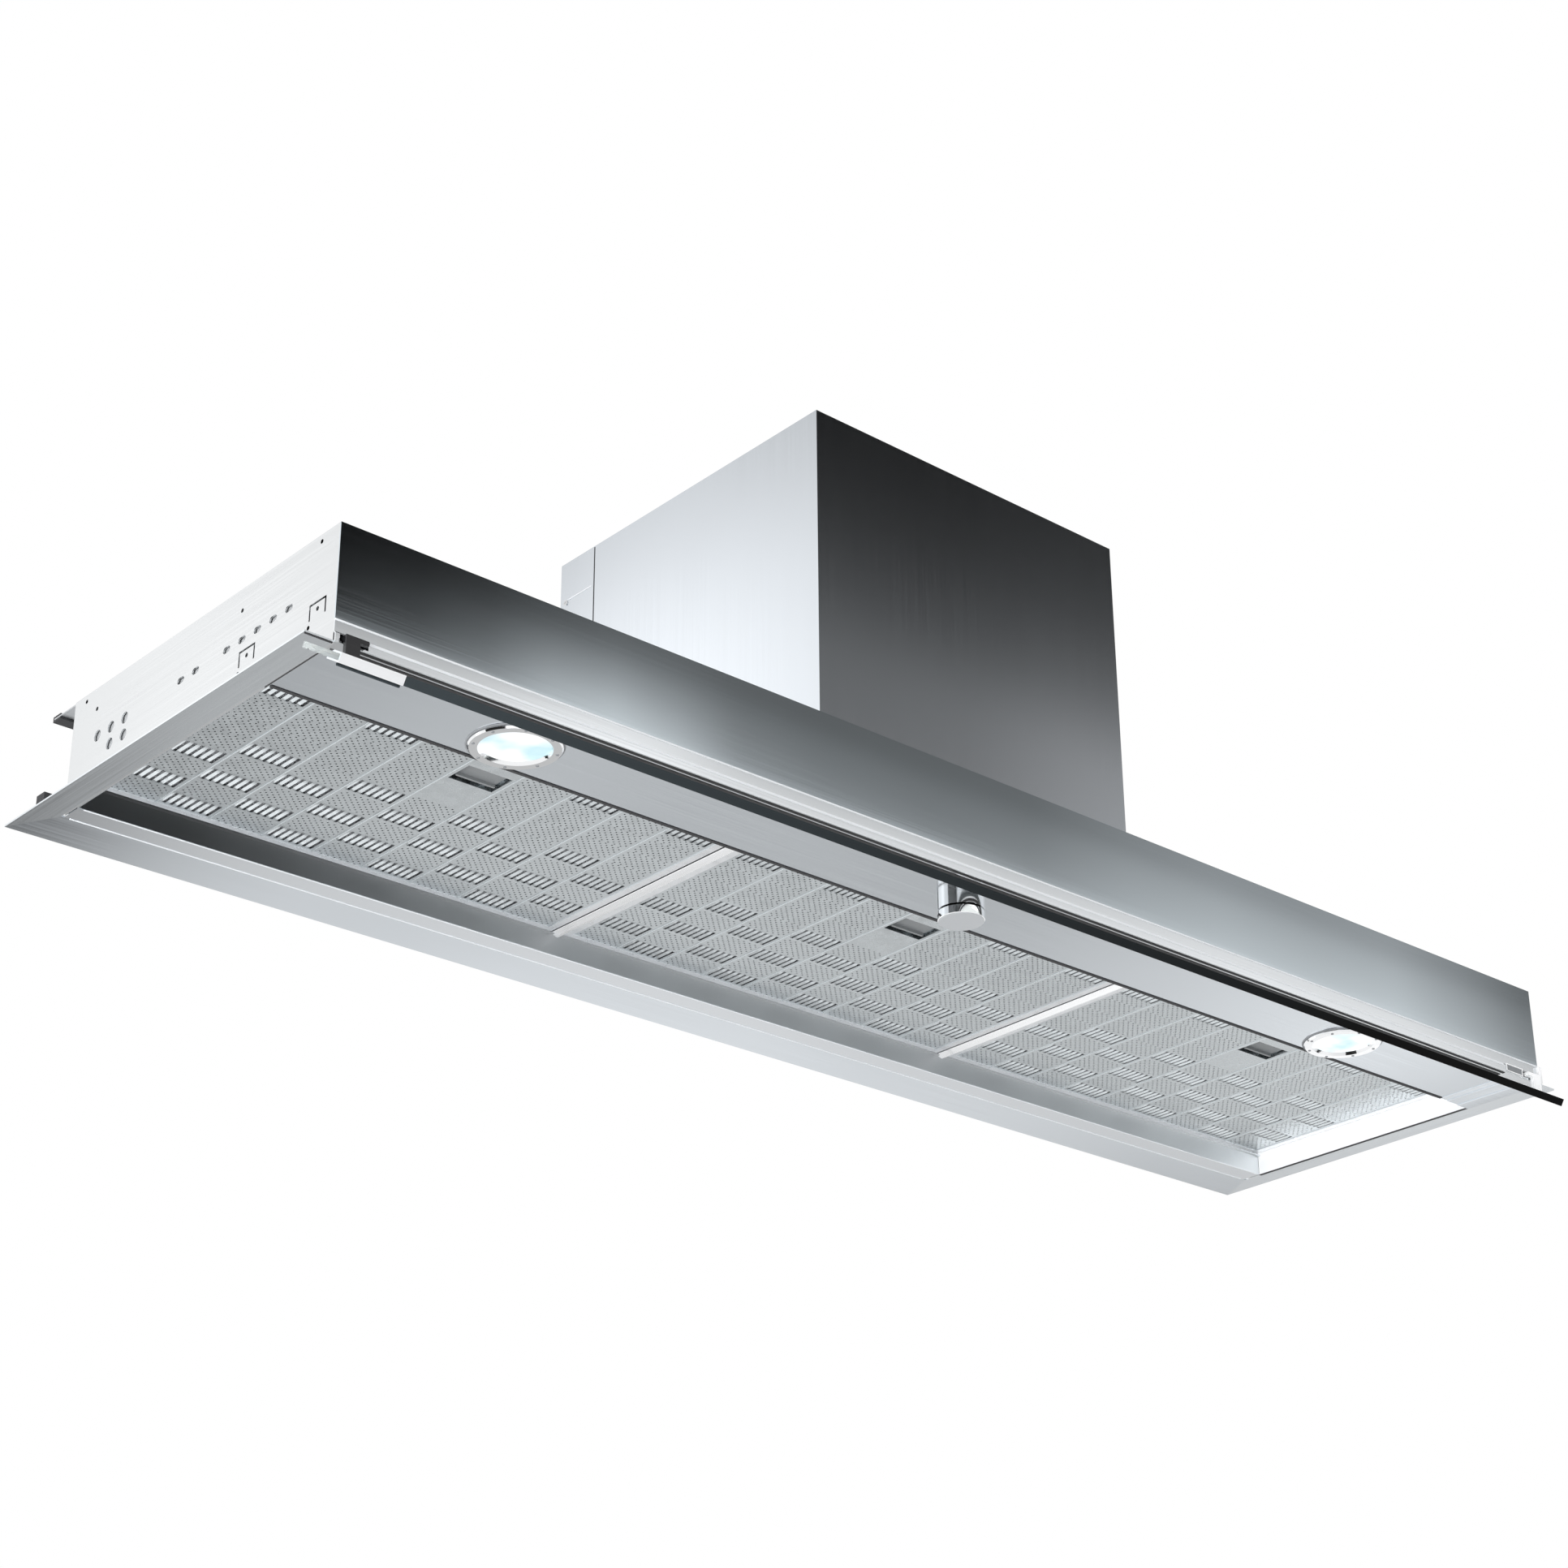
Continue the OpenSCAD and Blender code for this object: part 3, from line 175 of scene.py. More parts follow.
def graded_card(name, middle, turn, width, height, layers, strength):
    """A card whose glow is a sum of layers. A layer has stops, places with their brightness, per axis."""
    bpy.ops.mesh.primitive_plane_add(size=1, location=middle, rotation=turn)
    card = new_piece(name, (width, height, 1))
    paint = bpy.data.materials.new(name)
    paint.use_nodes = True
    tree = paint.node_tree
    tree.nodes.clear()
    axes = object_axes(tree)
    total = None
    for layer in layers:
        product = None
        for axis, stops in layer.items():
            start, end = stops[0][0], stops[-1][0]
            along = add_node(tree, "ShaderNodeMapRange", Value=axes.outputs[axis],
                             From_Min=start, From_Max=end)
            ramp = add_node(tree, "ShaderNodeValToRGB", Fac=along.outputs[0])
            fill_ramp(ramp, [((at - start) / (end - start), (grey, grey, grey)) for at, grey in stops])
            if product is None:
                product = ramp.outputs[0]
            else:
                product = add_node(tree, "ShaderNodeMix", {"data_type": "RGBA", "blend_type": "MULTIPLY"},
                                   _0=1.0, _6=product, _7=ramp.outputs[0]).outputs[2]
        if total is None:
            total = product
        else:
            total = add_node(tree, "ShaderNodeMix", {"data_type": "RGBA", "blend_type": "ADD"},
                             _0=1.0, _6=total, _7=product).outputs[2]
    shine = add_node(tree, "ShaderNodeEmission", Color=total, Strength=strength)
    add_node(tree, "ShaderNodeOutputMaterial", Surface=shine.outputs[0])
    card.data.materials.append(paint)
    card.visible_camera = False
    card.visible_diffuse = False
    card.visible_shadow = False
    card.visible_transmission = False


# In front: a broad glow, a soft patch at the left and a strip low down, which the trim sees.
BROAD = {"X": [(-0.9, 0.008), (0.05, 0.010), (0.14, 0.014), (0.23, 0.030), (0.31, 0.06), (0.40, 0.11),
               (0.49, 0.14), (0.57, 0.155), (0.69, 0.165), (0.86, 0.18), (1.04, 0.21), (1.21, 0.34),
               (1.38, 0.42), (1.55, 0.42), (1.73, 0.47), (1.90, 0.34), (2.02, 0.215), (3.2, 0.2)],
         "Z": [(0.3, 0.9), (0.66, 0.9), (0.69, 0.85), (0.71, 0.77), (0.735, 0.69), (0.76, 0.49),
               (0.93, 0.48), (1.03, 0.21), (1.14, 0.09), (1.27, 0.04), (2.1, 0.03)]}
PATCH = {"X": [(0.0, 0.0), (0.05, 0.018), (0.14, 0.048), (0.23, 0.12), (0.31, 0.27), (0.40, 0.318),
               (0.49, 0.21), (0.57, 0.06), (0.69, 0.014), (0.86, 0.0)],
         "Z": [(0.66, 1.0), (0.69, 0.86), (0.71, 0.60), (0.735, 0.36), (0.76, 0.16), (0.79, 0.07),
               (0.9, 0.0)]}
LOW_STRIP = {"X": [(-0.3, 0.3), (0.0, 0.54), (0.17, 0.50), (0.35, 0.36), (0.52, 0.39), (0.69, 0.45),
                   (0.86, 0.46), (1.04, 0.38), (1.21, 0.285), (1.38, 0.275), (1.55, 0.235),
                   (1.73, 0.225), (1.90, 0.25), (3.2, 0.34)],
             "Z": [(0.3, 1.0), (0.658, 1.0), (0.665, 0.0), (0.7, 0.0)]}
graded_card("front_card", middle=(1.15, -1.16, 1.2), turn=(math.radians(90), 0, 0),
            width=4.1, height=1.8, layers=[BROAD, PATCH, LOW_STRIP], strength=1.85)

# On the left: fading upwards and towards both ends.
SIDEWAYS = {"Y": [(1.5, 0.6), (1.95, 0.77), (2.1, 0.84), (2.22, 0.91), (2.34, 0.96), (2.46, 0.99),
                  (2.56, 0.96), (2.69, 0.87), (2.83, 0.76), (2.91, 0.70), (3.5, 0.6)],
            "Z": [(1.2, 1.0), (1.6, 0.98), (1.7, 0.95), (1.9, 0.82), (2.09, 0.62), (2.2, 0.54),
                  (2.5, 0.5)]}
graded_card("left_card", middle=(-2.0, 2.5, 1.8), turn=(0, math.radians(90), 0),
            width=1.4, height=2.0, layers=[SIDEWAYS], strength=1.40)

# Below: the part near the hood is bright and catches raised edges, the middle greys the lamp panel,
# the far part greys the strip at the wall, and the part beside them the flange at the left.
NEAR = {"X": [(-2.2, 0.72), (0.2, 0.62), (0.8, 0.78), (1.7, 0.74), (2.4, 0.60), (3.0, 0.34), (4.4, 0.2)],
        "Y": [(0.4, 1.0), (1.3, 1.0), (1.45, 0.0), (2.0, 0.0)]}
BESIDE = {"X": [(-2.2, 0.66), (-0.1, 0.66), (0.15, 0.0), (0.4, 0.0)],
          "Y": [(1.3, 0.0), (1.45, 1.0), (3.6, 1.0)]}
MIDDLE = {"X": [(0.4, 0.28), (0.65, 0.30), (0.79, 0.33), (0.94, 0.385), (1.21, 0.385), (1.36, 0.345),
                (1.61, 0.35), (1.85, 0.335), (2.23, 0.31), (2.40, 0.48), (2.72, 0.50), (2.92, 0.63),
                (3.16, 0.84), (3.34, 0.48), (3.55, 0.36), (4.4, 0.3)],
          "Y": [(1.3, 0.0), (1.45, 1.0), (2.15, 1.0), (2.6, 0.0)]}
FAR = {"X": [(0.4, 0.03), (0.67, 0.08), (0.87, 0.39), (1.11, 0.54), (1.36, 0.49), (1.61, 0.59),
             (1.85, 0.60), (2.1, 0.66), (2.35, 0.59), (2.6, 0.56), (2.84, 0.58), (3.09, 0.49),
             (3.34, 0.34), (3.55, 0.31), (4.4, 0.3)],
       "Y": [(2.15, 0.0), (2.6, 1.0), (3.6, 1.0)]}
FACE_UP = (math.radians(180), 0, 0)
graded_card("lower_card", middle=(1.1, 2.0, -1.24), turn=FACE_UP,
            width=6.6, height=3.2, layers=[NEAR, BESIDE, MIDDLE, FAR], strength=1.45)

DARK = {"X": [(-3.2, 0.02), (-1.4, 0.02)]}
graded_card("dark_card", middle=(-2.3, -0.4, -1.2), turn=FACE_UP,
            width=1.8, height=2.2, layers=[DARK], strength=1.0)


# Canopy: side panels, flanges, the left wall of the recess, lamp panel and the strip at the wall,
# folded from stainless sheet and brushed along their length. The roof and the rear wall are of
# zinc-coated sheet, and all are spot-welded together.
def group_sockets(group, side, *names):
    """Gives a node group plain number sockets, and a vector socket for a name that ends in V."""
    for name in names:
        kind = "NodeSocketVector" if name.endswith("V") else "NodeSocketFloat"
        group.interface.new_socket(name=name, in_out=side, socket_type=kind)


grain_group = bpy.data.node_groups.new("brushed grain", "ShaderNodeTree")
group_sockets(grain_group, "INPUT", "Stretch V", "Cloud size")
group_sockets(grain_group, "OUTPUT", "Grain", "Cloud")
given = add_node(grain_group, "NodeGroupInput")
place = add_node(grain_group, "ShaderNodeTexCoord")
stretched = add_node(grain_group, "ShaderNodeVectorMath", {"operation": "MULTIPLY"},
                     _0=place.outputs["Object"], _1=given.outputs["Stretch V"])
fine = add_node(grain_group, "ShaderNodeTexNoise", Vector=stretched.outputs[0], Scale=1.0, Detail=3.0)
cloud = add_node(grain_group, "ShaderNodeTexNoise", Vector=place.outputs["Object"],
                 Scale=given.outputs["Cloud size"], Detail=2.0)
add_node(grain_group, "NodeGroupOutput", Grain=fine.outputs["Fac"], Cloud=cloud.outputs["Fac"])


GRAIN_HEIGHT = 0.0002


def grained(name, colour, roughness, grain_range, stretch, depth, cloud, spread, metallic):
    """A finish with a fine grain in its polish and surface, and faint clouds in its colour."""
    made = bpy.data.materials.new(name)
    made.use_nodes = True
    tree = made.node_tree
    shader = tree.nodes["Principled BSDF"]
    grain = add_node(tree, "ShaderNodeGroup", {"node_tree": grain_group},
                     Stretch_V=stretch, Cloud_size=cloud)
    dark = [c * (1 - spread) for c in colour]
    light = [min(1.0, c * (1 + spread)) for c in colour]
    tint = add_node(tree, "ShaderNodeMix", {"data_type": "RGBA"}, _0=grain.outputs["Cloud"],
                    _6=(*dark, 1), _7=(*light, 1))
    polish = add_node(tree, "ShaderNodeMapRange", Value=grain.outputs["Grain"],
                      From_Min=grain_range[0], From_Max=grain_range[1],
                      To_Min=roughness[0], To_Max=roughness[1])
    bump = add_node(tree, "ShaderNodeBump", Strength=depth, Distance=GRAIN_HEIGHT,
                    Height=grain.outputs["Grain"])
    shader.inputs["Metallic"].default_value = metallic
    tree.links.new(tint.outputs[2], shader.inputs["Base Color"])
    tree.links.new(polish.outputs[0], shader.inputs["Roughness"])
    tree.links.new(bump.outputs[0], shader.inputs["Normal"])
    return made


def sheet_metal(name, colour, roughness, stretch, depth=0.03, cloud=5.0, spread=0.03, metallic=1.0):
    """A brushed or rolled metal, with the grain longest along the way of the brush."""
    return grained(name, colour, (roughness * 0.8, roughness * 1.25), (0.3, 0.7), stretch, depth,
                   cloud, spread, metallic)


def dress(material, *names):
    """Gives CAD nodes their finish."""
    for name in names:
        nodes[name].data.materials.clear()
        nodes[name].data.materials.append(material)


ALONG_X = (6.0, 900.0, 900.0)
ALONG_Y = (900.0, 6.0, 900.0)
ALONG_Z = (900.0, 900.0, 6.0)
EVEN = (150.0, 150.0, 150.0)

# The steel sheets differ a little in tint, to come nearer to their shades in the photograph.
# These tints are painted light and shade: lighter and darker copies of one steel, as are those of the
# front panel and the fan housing below.
steel = sheet_metal("brushed steel", (0.775, 0.82, 0.862), roughness=0.14, stretch=ALONG_X, depth=0.006)
side_steel = sheet_metal("brushed steel sides", (0.785, 0.80, 0.81), roughness=0.22, stretch=ALONG_Y,
                         depth=0.006)
flange_steel = sheet_metal("brushed steel flanges", (0.83, 0.87, 0.90), roughness=0.15, stretch=ALONG_Y,
                           depth=0.006)
zinc_sheet = sheet_metal("zinc-coated sheet", (0.66, 0.68, 0.70), roughness=0.38, stretch=EVEN,
                         depth=0.04, cloud=60.0, spread=0.12)
dress(side_steel, "side_left", "side_right")
dress(flange_steel, "flange_left", "flange_right", "recess_left")
dress(steel, "rear_strip", "lamp_panel")
dress(zinc_sheet, "canopy_top", "canopy_rear")


# Side wall of the recess on the right: a folded sheet. Its near-white colour is a painted highlight
# for the bright light that it mirrors, and it throws that light on the filter beside it.
painted_highlight_sheet = sheet_metal("sheet with painted highlight", (0.95, 0.96, 0.97), roughness=0.5, stretch=ALONG_Y,
                         depth=0.006, spread=0.01, metallic=0.15)
dress(painted_highlight_sheet, "recess_right")


# Rear wall of the recess: a folded satin sheet. Its upright carries painted shade and painted
# reflection, darker towards the left end, and isn't seen in other sheets. The return band along its
# lower edge is brushed like the strip behind it.
height_mask = bpy.data.node_groups.new("height mask", "ShaderNodeTree")
group_sockets(height_mask, "INPUT", "Height")
group_sockets(height_mask, "OUTPUT", "Above")
given = add_node(height_mask, "NodeGroupInput")
higher = add_node(height_mask, "ShaderNodeMath", {"operation": "GREATER_THAN"},
                  _0=object_axes(height_mask).outputs["Z"], _1=given.outputs["Height"])
add_node(height_mask, "NodeGroupOutput", Above=higher.outputs[0])

BAND_TOP = 0.0197
WALL_HALF = 0.58
BAND_COLOUR = (0.80, 0.83, 0.86)
# Greys of the upright from its left end to its right: painted shade and painted reflection.
WALL_SHADE_STOPS = ((0.0, 0.05), (0.08, 0.09), (0.16, 0.20), (0.25, 0.36), (0.33, 0.50), (0.7, 0.55),
              (0.85, 0.66), (1.0, 0.85))
rear_wall = bpy.data.materials.new("satin wall with painted shade")
rear_wall.use_nodes = True
tree = rear_wall.node_tree
shader = tree.nodes["Principled BSDF"]
grain = add_node(tree, "ShaderNodeGroup", {"node_tree": grain_group}, Stretch_V=ALONG_X, Cloud_size=5.0)
along = add_node(tree, "ShaderNodeMapRange", Value=object_axes(tree).outputs["X"],
                 From_Min=-WALL_HALF, From_Max=WALL_HALF)
ramp = add_node(tree, "ShaderNodeValToRGB", Fac=along.outputs[0])
fill_ramp(ramp, [(at, (grey * 0.96, grey, grey * 1.02)) for at, grey in WALL_SHADE_STOPS])
upright = add_node(tree, "ShaderNodeGroup", {"node_tree": height_mask}, Height=BAND_TOP)
tint = add_node(tree, "ShaderNodeMix", {"data_type": "RGBA"}, _0=upright.outputs["Above"],
                _6=(*BAND_COLOUR, 1), _7=ramp.outputs[0])
polish = add_node(tree, "ShaderNodeMapRange", Value=upright.outputs["Above"], To_Min=0.18, To_Max=0.5)
bump = add_node(tree, "ShaderNodeBump", Strength=0.006, Distance=GRAIN_HEIGHT,
                Height=grain.outputs["Grain"])
tree.links.new(tint.outputs[2], shader.inputs["Base Color"])
tree.links.new(polish.outputs[0], shader.inputs["Roughness"])
tree.links.new(bump.outputs[0], shader.inputs["Normal"])
shader.inputs["Metallic"].default_value = 1.0
dress(rear_wall, "recess_rear")
nodes["recess_rear"].visible_glossy = False


# Front panel: one folded steel sheet with a smooth brush, fixed to the side panels from within.
# Its tint, darker than that of the other steel sheets, is painted shade.
front_steel = sheet_metal("smooth front steel", (0.64, 0.705, 0.745), roughness=0.06, stretch=ALONG_X,
                          depth=0.004)
dress(front_steel, "front_panel")


# Front trim: an anodised aluminium profile along the lower edge of the front panel, fixed from
# behind. It has a window at each end.
trim_metal = sheet_metal("anodised trim", (0.785, 0.81, 0.83), roughness=0.14, stretch=ALONG_X,
                         depth=0.006)
dress(trim_metal, "front_trim")


# Fan housing: a cover folded round the front and the sides and a rear sheet, both of brushed steel,
# and a roof of zinc-coated sheet. They are screwed together.
# Its tint, lighter than that of the other steel sheets, is painted light.
housing_steel = sheet_metal("housing steel", (0.80, 0.84, 0.885), roughness=0.12, stretch=ALONG_Z,
                            depth=0.006)
dress(housing_steel, "housing_cover", "housing_back")
dress(zinc_sheet, "housing_top")


# Stop blocks and lip seal: moulded from black rubber. The blocks sit in shallow seats of the
# flanges, and the seal is pushed on the upper rear edge of the canopy.
def moulded(name, colour, roughness, depth=0.2, grain_size=900.0):
    """A moulded plastic or rubber with a fine spark-eroded grain."""
    return grained(name, colour, (roughness * 0.85, min(1.0, roughness * 1.15)), (0.0, 1.0),
                   (grain_size, grain_size, grain_size), depth, cloud=12.0, spread=0.12, metallic=0.0)


rubber = moulded("black rubber", (0.03, 0.03, 0.032), roughness=0.75)
dress(rubber, "stop_block_left", "stop_block_right", "lip_seal")


# Guides: two channels moulded from black plastic and fixed inside the canopy. The arms of the
# vapour screen run in them.
black_plastic = moulded("black plastic", (0.045, 0.047, 0.05), roughness=0.5)
dress(black_plastic, "guide_left", "guide_right")


# Outlet: a round collar of black plastic and two flaps of grey plastic, all moulded.
# The flaps hang on a plated steel spindle across the collar.
ROLLED = (300.0, 300.0, 300.0)
grey_plastic = moulded("grey plastic", (0.20, 0.21, 0.22), roughness=0.5)
plated = sheet_metal("zinc-plated steel", (0.72, 0.73, 0.74), roughness=0.22, stretch=ROLLED, depth=0.05)
dress(black_plastic, "outlet_collar")
dress(grey_plastic, "flap_left", "flap_right")
dress(plated, "flap_spindle")


# Fan: a scroll of grey plastic round a wheel of darker plastic, whose blades are clipped into its
# frame. The wheel sits on the shaft of a lacquered motor.
wheel_plastic = moulded("wheel plastic", (0.10, 0.11, 0.12), roughness=0.42)
motor_lacquer = moulded("motor lacquer", (0.28, 0.29, 0.30), roughness=0.4, depth=0.35, grain_size=500.0)
dress(grey_plastic, "fan_scroll")
dress(wheel_plastic, "impeller", "wheel_frame")
dress(motor_lacquer, "fan_motor")


# Electrical parts: a terminal box with its cable gland, of black plastic, and a white lamp driver.
# All are moulded and fixed to the canopy.
white_plastic = moulded("white plastic", (0.86, 0.87, 0.88), roughness=0.45)
dress(black_plastic, "terminal_box", "cable_gland")
dress(white_plastic, "lamp_driver")


# Control knob: a chromed collar in the lamp panel, a plated stem and a turned chromed cap, on a
# switch of black plastic. The wall of the cap is polished, and its face, which looks down, is satin.
CAP_FACE = 0.0036
POLISHED = (200.0, 200.0, 200.0)
chrome = sheet_metal("polished chrome", (0.90, 0.91, 0.92), roughness=0.07, stretch=POLISHED,
                     depth=0.01, cloud=8.0, spread=0.02)
cap_finish = sheet_metal("knob cap chrome", (0.95, 0.955, 0.96), roughness=0.07, stretch=POLISHED,
                         depth=0.01, cloud=8.0, spread=0.02)
tree = cap_finish.node_tree
shader = tree.nodes["Principled BSDF"]
wall = add_node(tree, "ShaderNodeGroup", {"node_tree": height_mask}, Height=CAP_FACE)
satin = add_node(tree, "ShaderNodeMapRange", Value=wall.outputs["Above"], To_Min=0.45, To_Max=0.07)
tint = add_node(tree, "ShaderNodeMix", {"data_type": "RGBA"}, _0=wall.outputs["Above"],
                _6=(0.60, 0.62, 0.64, 1), _7=(0.93, 0.94, 0.95, 1))
tree.links.new(satin.outputs[0], shader.inputs["Roughness"])
tree.links.new(tint.outputs[2], shader.inputs["Base Color"])
dress(black_plastic, "rotary_switch")
dress(plated, "knob_stem")
dress(chrome, "knob_collar")
dress(cap_finish, "knob_cap")


# Lamps: a pressed glass over the light, lit from behind with a faint blue-green cast, held in a ring
# of polished chrome. The can above it is drawn from zinc-coated sheet.
lamp_glass = bpy.data.materials.new("lamp glass")
lamp_glass.use_nodes = True
tree = lamp_glass.node_tree
shader = tree.nodes["Principled BSDF"]
place = add_node(tree, "ShaderNodeTexCoord")
cells = add_node(tree, "ShaderNodeTexVoronoi", Vector=place.outputs["Object"], Scale=110.0)
patches = add_node(tree, "ShaderNodeTexNoise", Vector=place.outputs["Object"], Scale=42.0, Detail=1.5)
cast = add_node(tree, "ShaderNodeMapRange", Value=patches.outputs["Fac"], From_Min=0.46, From_Max=0.66)
glow = add_node(tree, "ShaderNodeMix", {"data_type": "RGBA"}, _0=cast.outputs[0],
                _6=(1.0, 1.0, 1.0, 1), _7=(0.55, 0.80, 0.86, 1))
bump = add_node(tree, "ShaderNodeBump", Strength=0.4, Distance=0.0006, Height=cells.outputs["Distance"])
tree.links.new(glow.outputs[2], shader.inputs["Emission Color"])
tree.links.new(bump.outputs[0], shader.inputs["Normal"])
shader.inputs["Base Color"].default_value = (0.10, 0.12, 0.13, 1)
shader.inputs["Emission Strength"].default_value = 0.9
shader.inputs["Roughness"].default_value = 0.12
dress(lamp_glass, "lamp_lens_left", "lamp_lens_right")
dress(chrome, "lamp_ring_left", "lamp_ring_right")
dress(zinc_sheet, "lamp_can_left", "lamp_can_right")


# Arms of the vapour screen, of zinc, clamped to the ends of its glass. The clamp at the left is
# bright, and its arm above is black as painted shade. The right arm is white like the block beside
# it, with the painted highlight of the right wall of the recess.
CLAMP_TOP = 0.0105
arm_finish = sheet_metal("zinc arms", (0.93, 0.94, 0.95), roughness=0.16, stretch=ALONG_X, depth=0.01)
tree = arm_finish.node_tree
shader = tree.nodes["Principled BSDF"]
bright = shader.inputs["Base Color"].links[0].from_socket
# Above the top of the clamp the arm is painted black, as painted shade.
painted_shade_above = add_node(tree, "ShaderNodeGroup", {"node_tree": height_mask}, Height=CLAMP_TOP)
tint = add_node(tree, "ShaderNodeMix", {"data_type": "RGBA"}, _0=painted_shade_above.outputs["Above"],
                _6=bright, _7=(0.01, 0.01, 0.011, 1))
metal_below = add_node(tree, "ShaderNodeMath", {"operation": "SUBTRACT"},
                _0=1.0, _1=painted_shade_above.outputs["Above"])
tree.links.new(tint.outputs[2], shader.inputs["Base Color"])
tree.links.new(metal_below.outputs[0], shader.inputs["Metallic"])
dress(arm_finish, "screen_arm_left")
dress(painted_highlight_sheet, "screen_arm_right")


# Glass of the vapour screen: a clear toughened pane with a faint green cast and a slight smear,
# which the two arms hold at its ends.
clear_glass = bpy.data.materials.new("clear glass")
clear_glass.use_nodes = True
tree = clear_glass.node_tree
shader = tree.nodes["Principled BSDF"]
place = add_node(tree, "ShaderNodeTexCoord")
haze = add_node(tree, "ShaderNodeTexNoise", Vector=place.outputs["Object"], Scale=40.0, Detail=2.0)
smear = add_node(tree, "ShaderNodeMapRange", Value=haze.outputs["Fac"], To_Min=0.01, To_Max=0.05)
tree.links.new(smear.outputs[0], shader.inputs["Roughness"])
shader.inputs["Base Color"].default_value = (0.96, 1.0, 0.985, 1)
shader.inputs["Transmission Weight"].default_value = 0.9
shader.inputs["IOR"].default_value = 1.12
dress(clear_glass, "screen_glass")


# Edge profile of the vapour screen: a black extruded section, pushed on the edge of the glass.
# A painted fade to dark grey towards the left end stands in for the gleam that it has there.
EDGE_BLACK = (0.002, 0.002, 0.002)
EDGE_GREY = (0.030, 0.037, 0.041)
BLACK_X = 0.35
GREY_X = -0.5
edge_black = moulded("black profile", EDGE_BLACK, roughness=0.6, depth=0.03)
tree = edge_black.node_tree
shader = tree.nodes["Principled BSDF"]
shader.inputs["Specular IOR Level"].default_value = 0.05
faded = add_node(tree, "ShaderNodeMapRange", Value=object_axes(tree).outputs["X"],
                 From_Min=BLACK_X, From_Max=GREY_X)
tint = add_node(tree, "ShaderNodeMix", {"data_type": "RGBA"}, _0=faded.outputs[0],
                _6=(*EDGE_BLACK, 1), _7=(*EDGE_GREY, 1))
tree.links.new(tint.outputs[2], shader.inputs["Base Color"])
dress(edge_black, "screen_edge")


# Latches of the filters: sliders moulded from dark grey plastic, each with a spring, in the tub that
# is drawn into the face of its filter.
latch_plastic = moulded("latch plastic", (0.16, 0.17, 0.175), roughness=0.38)
dress(latch_plastic, "latch_1", "latch_2", "latch_3")


# Frames and cores of the three grease filters: an aluminium tray with layers of expanded aluminium
# laid into it. From below the core shows as grey strands over dark gaps; the dark of the gaps is
# painted shade.
aluminium = sheet_metal("filter frame aluminium", (0.84, 0.86, 0.88), roughness=0.30, stretch=EVEN,
                        cloud=30.0, spread=0.04)
filter_mesh = bpy.data.materials.new("expanded mesh")
filter_mesh.use_nodes = True
tree = filter_mesh.node_tree
shader = tree.nodes["Principled BSDF"]
place = add_node(tree, "ShaderNodeTexCoord")
cells = add_node(tree, "ShaderNodeTexVoronoi", {"feature": "DISTANCE_TO_EDGE"},
                 Vector=place.outputs["Object"], Scale=420.0)
strand = add_node(tree, "ShaderNodeMapRange", Value=cells.outputs["Distance"], From_Min=0.06, From_Max=0.2)
# The dark between the strands is painted shade in the openings of the mesh.
tint = add_node(tree, "ShaderNodeMix", {"data_type": "RGBA"}, _0=strand.outputs[0],
                _6=(0.38, 0.39, 0.41, 1), _7=(0.10, 0.105, 0.11, 1))
bump = add_node(tree, "ShaderNodeBump", {"invert": True}, Strength=0.8, Distance=0.0008,
                Height=strand.outputs[0])
tree.links.new(tint.outputs[2], shader.inputs["Base Color"])
tree.links.new(bump.outputs[0], shader.inputs["Normal"])
shader.inputs["Metallic"].default_value = 0.4
shader.inputs["Roughness"].default_value = 0.4
dress(aluminium, "filter_1_frame", "filter_2_frame", "filter_3_frame")
dress(filter_mesh, "filter_1_core", "filter_2_core", "filter_3_core")


# Faces of the filters, each pressed from one aluminium sheet and clipped into its frame. Blocks of
# open louvres take turns with perforated blocks, a tub for the latch is drawn in, and narrow ribs
# are welded on between the columns. One is modelled and the other two are copies of it.
def start_box(name, low, high):
    """A box between two corners, alone selected and active."""
    low, high = Vector(low), Vector(high)
    bpy.ops.mesh.primitive_cube_add(size=1, location=(low + high) / 2)
    return new_piece(name, high - low)


def pick(piece, kind, test):
    """Opens a piece for editing with only those of its parts selected that pass a test."""
    select_alone(piece)
    mesh = piece.data
    for parts in (mesh.vertices, mesh.edges, mesh.polygons):
        parts.foreach_set("select", [False] * len(parts))
    for part in {"VERT": mesh.vertices, "EDGE": mesh.edges, "FACE": mesh.polygons}[kind]:
        part.select = test(part)
    bpy.context.tool_settings.mesh_select_mode = [kind == k for k in ("VERT", "EDGE", "FACE")]
    bpy.ops.object.mode_set(mode="EDIT")


def end_edit():
    """Ends the editing of a piece."""
    bpy.ops.object.mode_set(mode="OBJECT")


def thicken(sheet, thickness):
    """Gives a sheet its thickness, half on each side, and applies that."""
    thick = sheet.modifiers.new("thick", "SOLIDIFY")
    thick.thickness = thickness
    thick.offset = 0
    bpy.context.view_layer.objects.active = sheet
    bpy.ops.object.modifier_apply(modifier="thick")


def copied(piece, name, at, turn=(0, 0, 0)):
    """A copy of a piece with its own mesh, turned and moved, with that applied."""
    made = piece.copy()
    made.data = piece.data.copy()
    bpy.context.collection.objects.link(made)
    made.name = name
    made.location = at
    made.rotation_euler = [math.radians(angle) for angle in turn]
    select_alone(made)
    bpy.ops.object.transform_apply(location=True, rotation=True, scale=True)
    return made


def joined(pieces, name):
    """Joins pieces to the first of them."""
    select_alone(pieces[0])
    for piece in pieces:
        piece.select_set(True)
    bpy.ops.object.join()
    pieces[0].name = name
    return pieces[0]


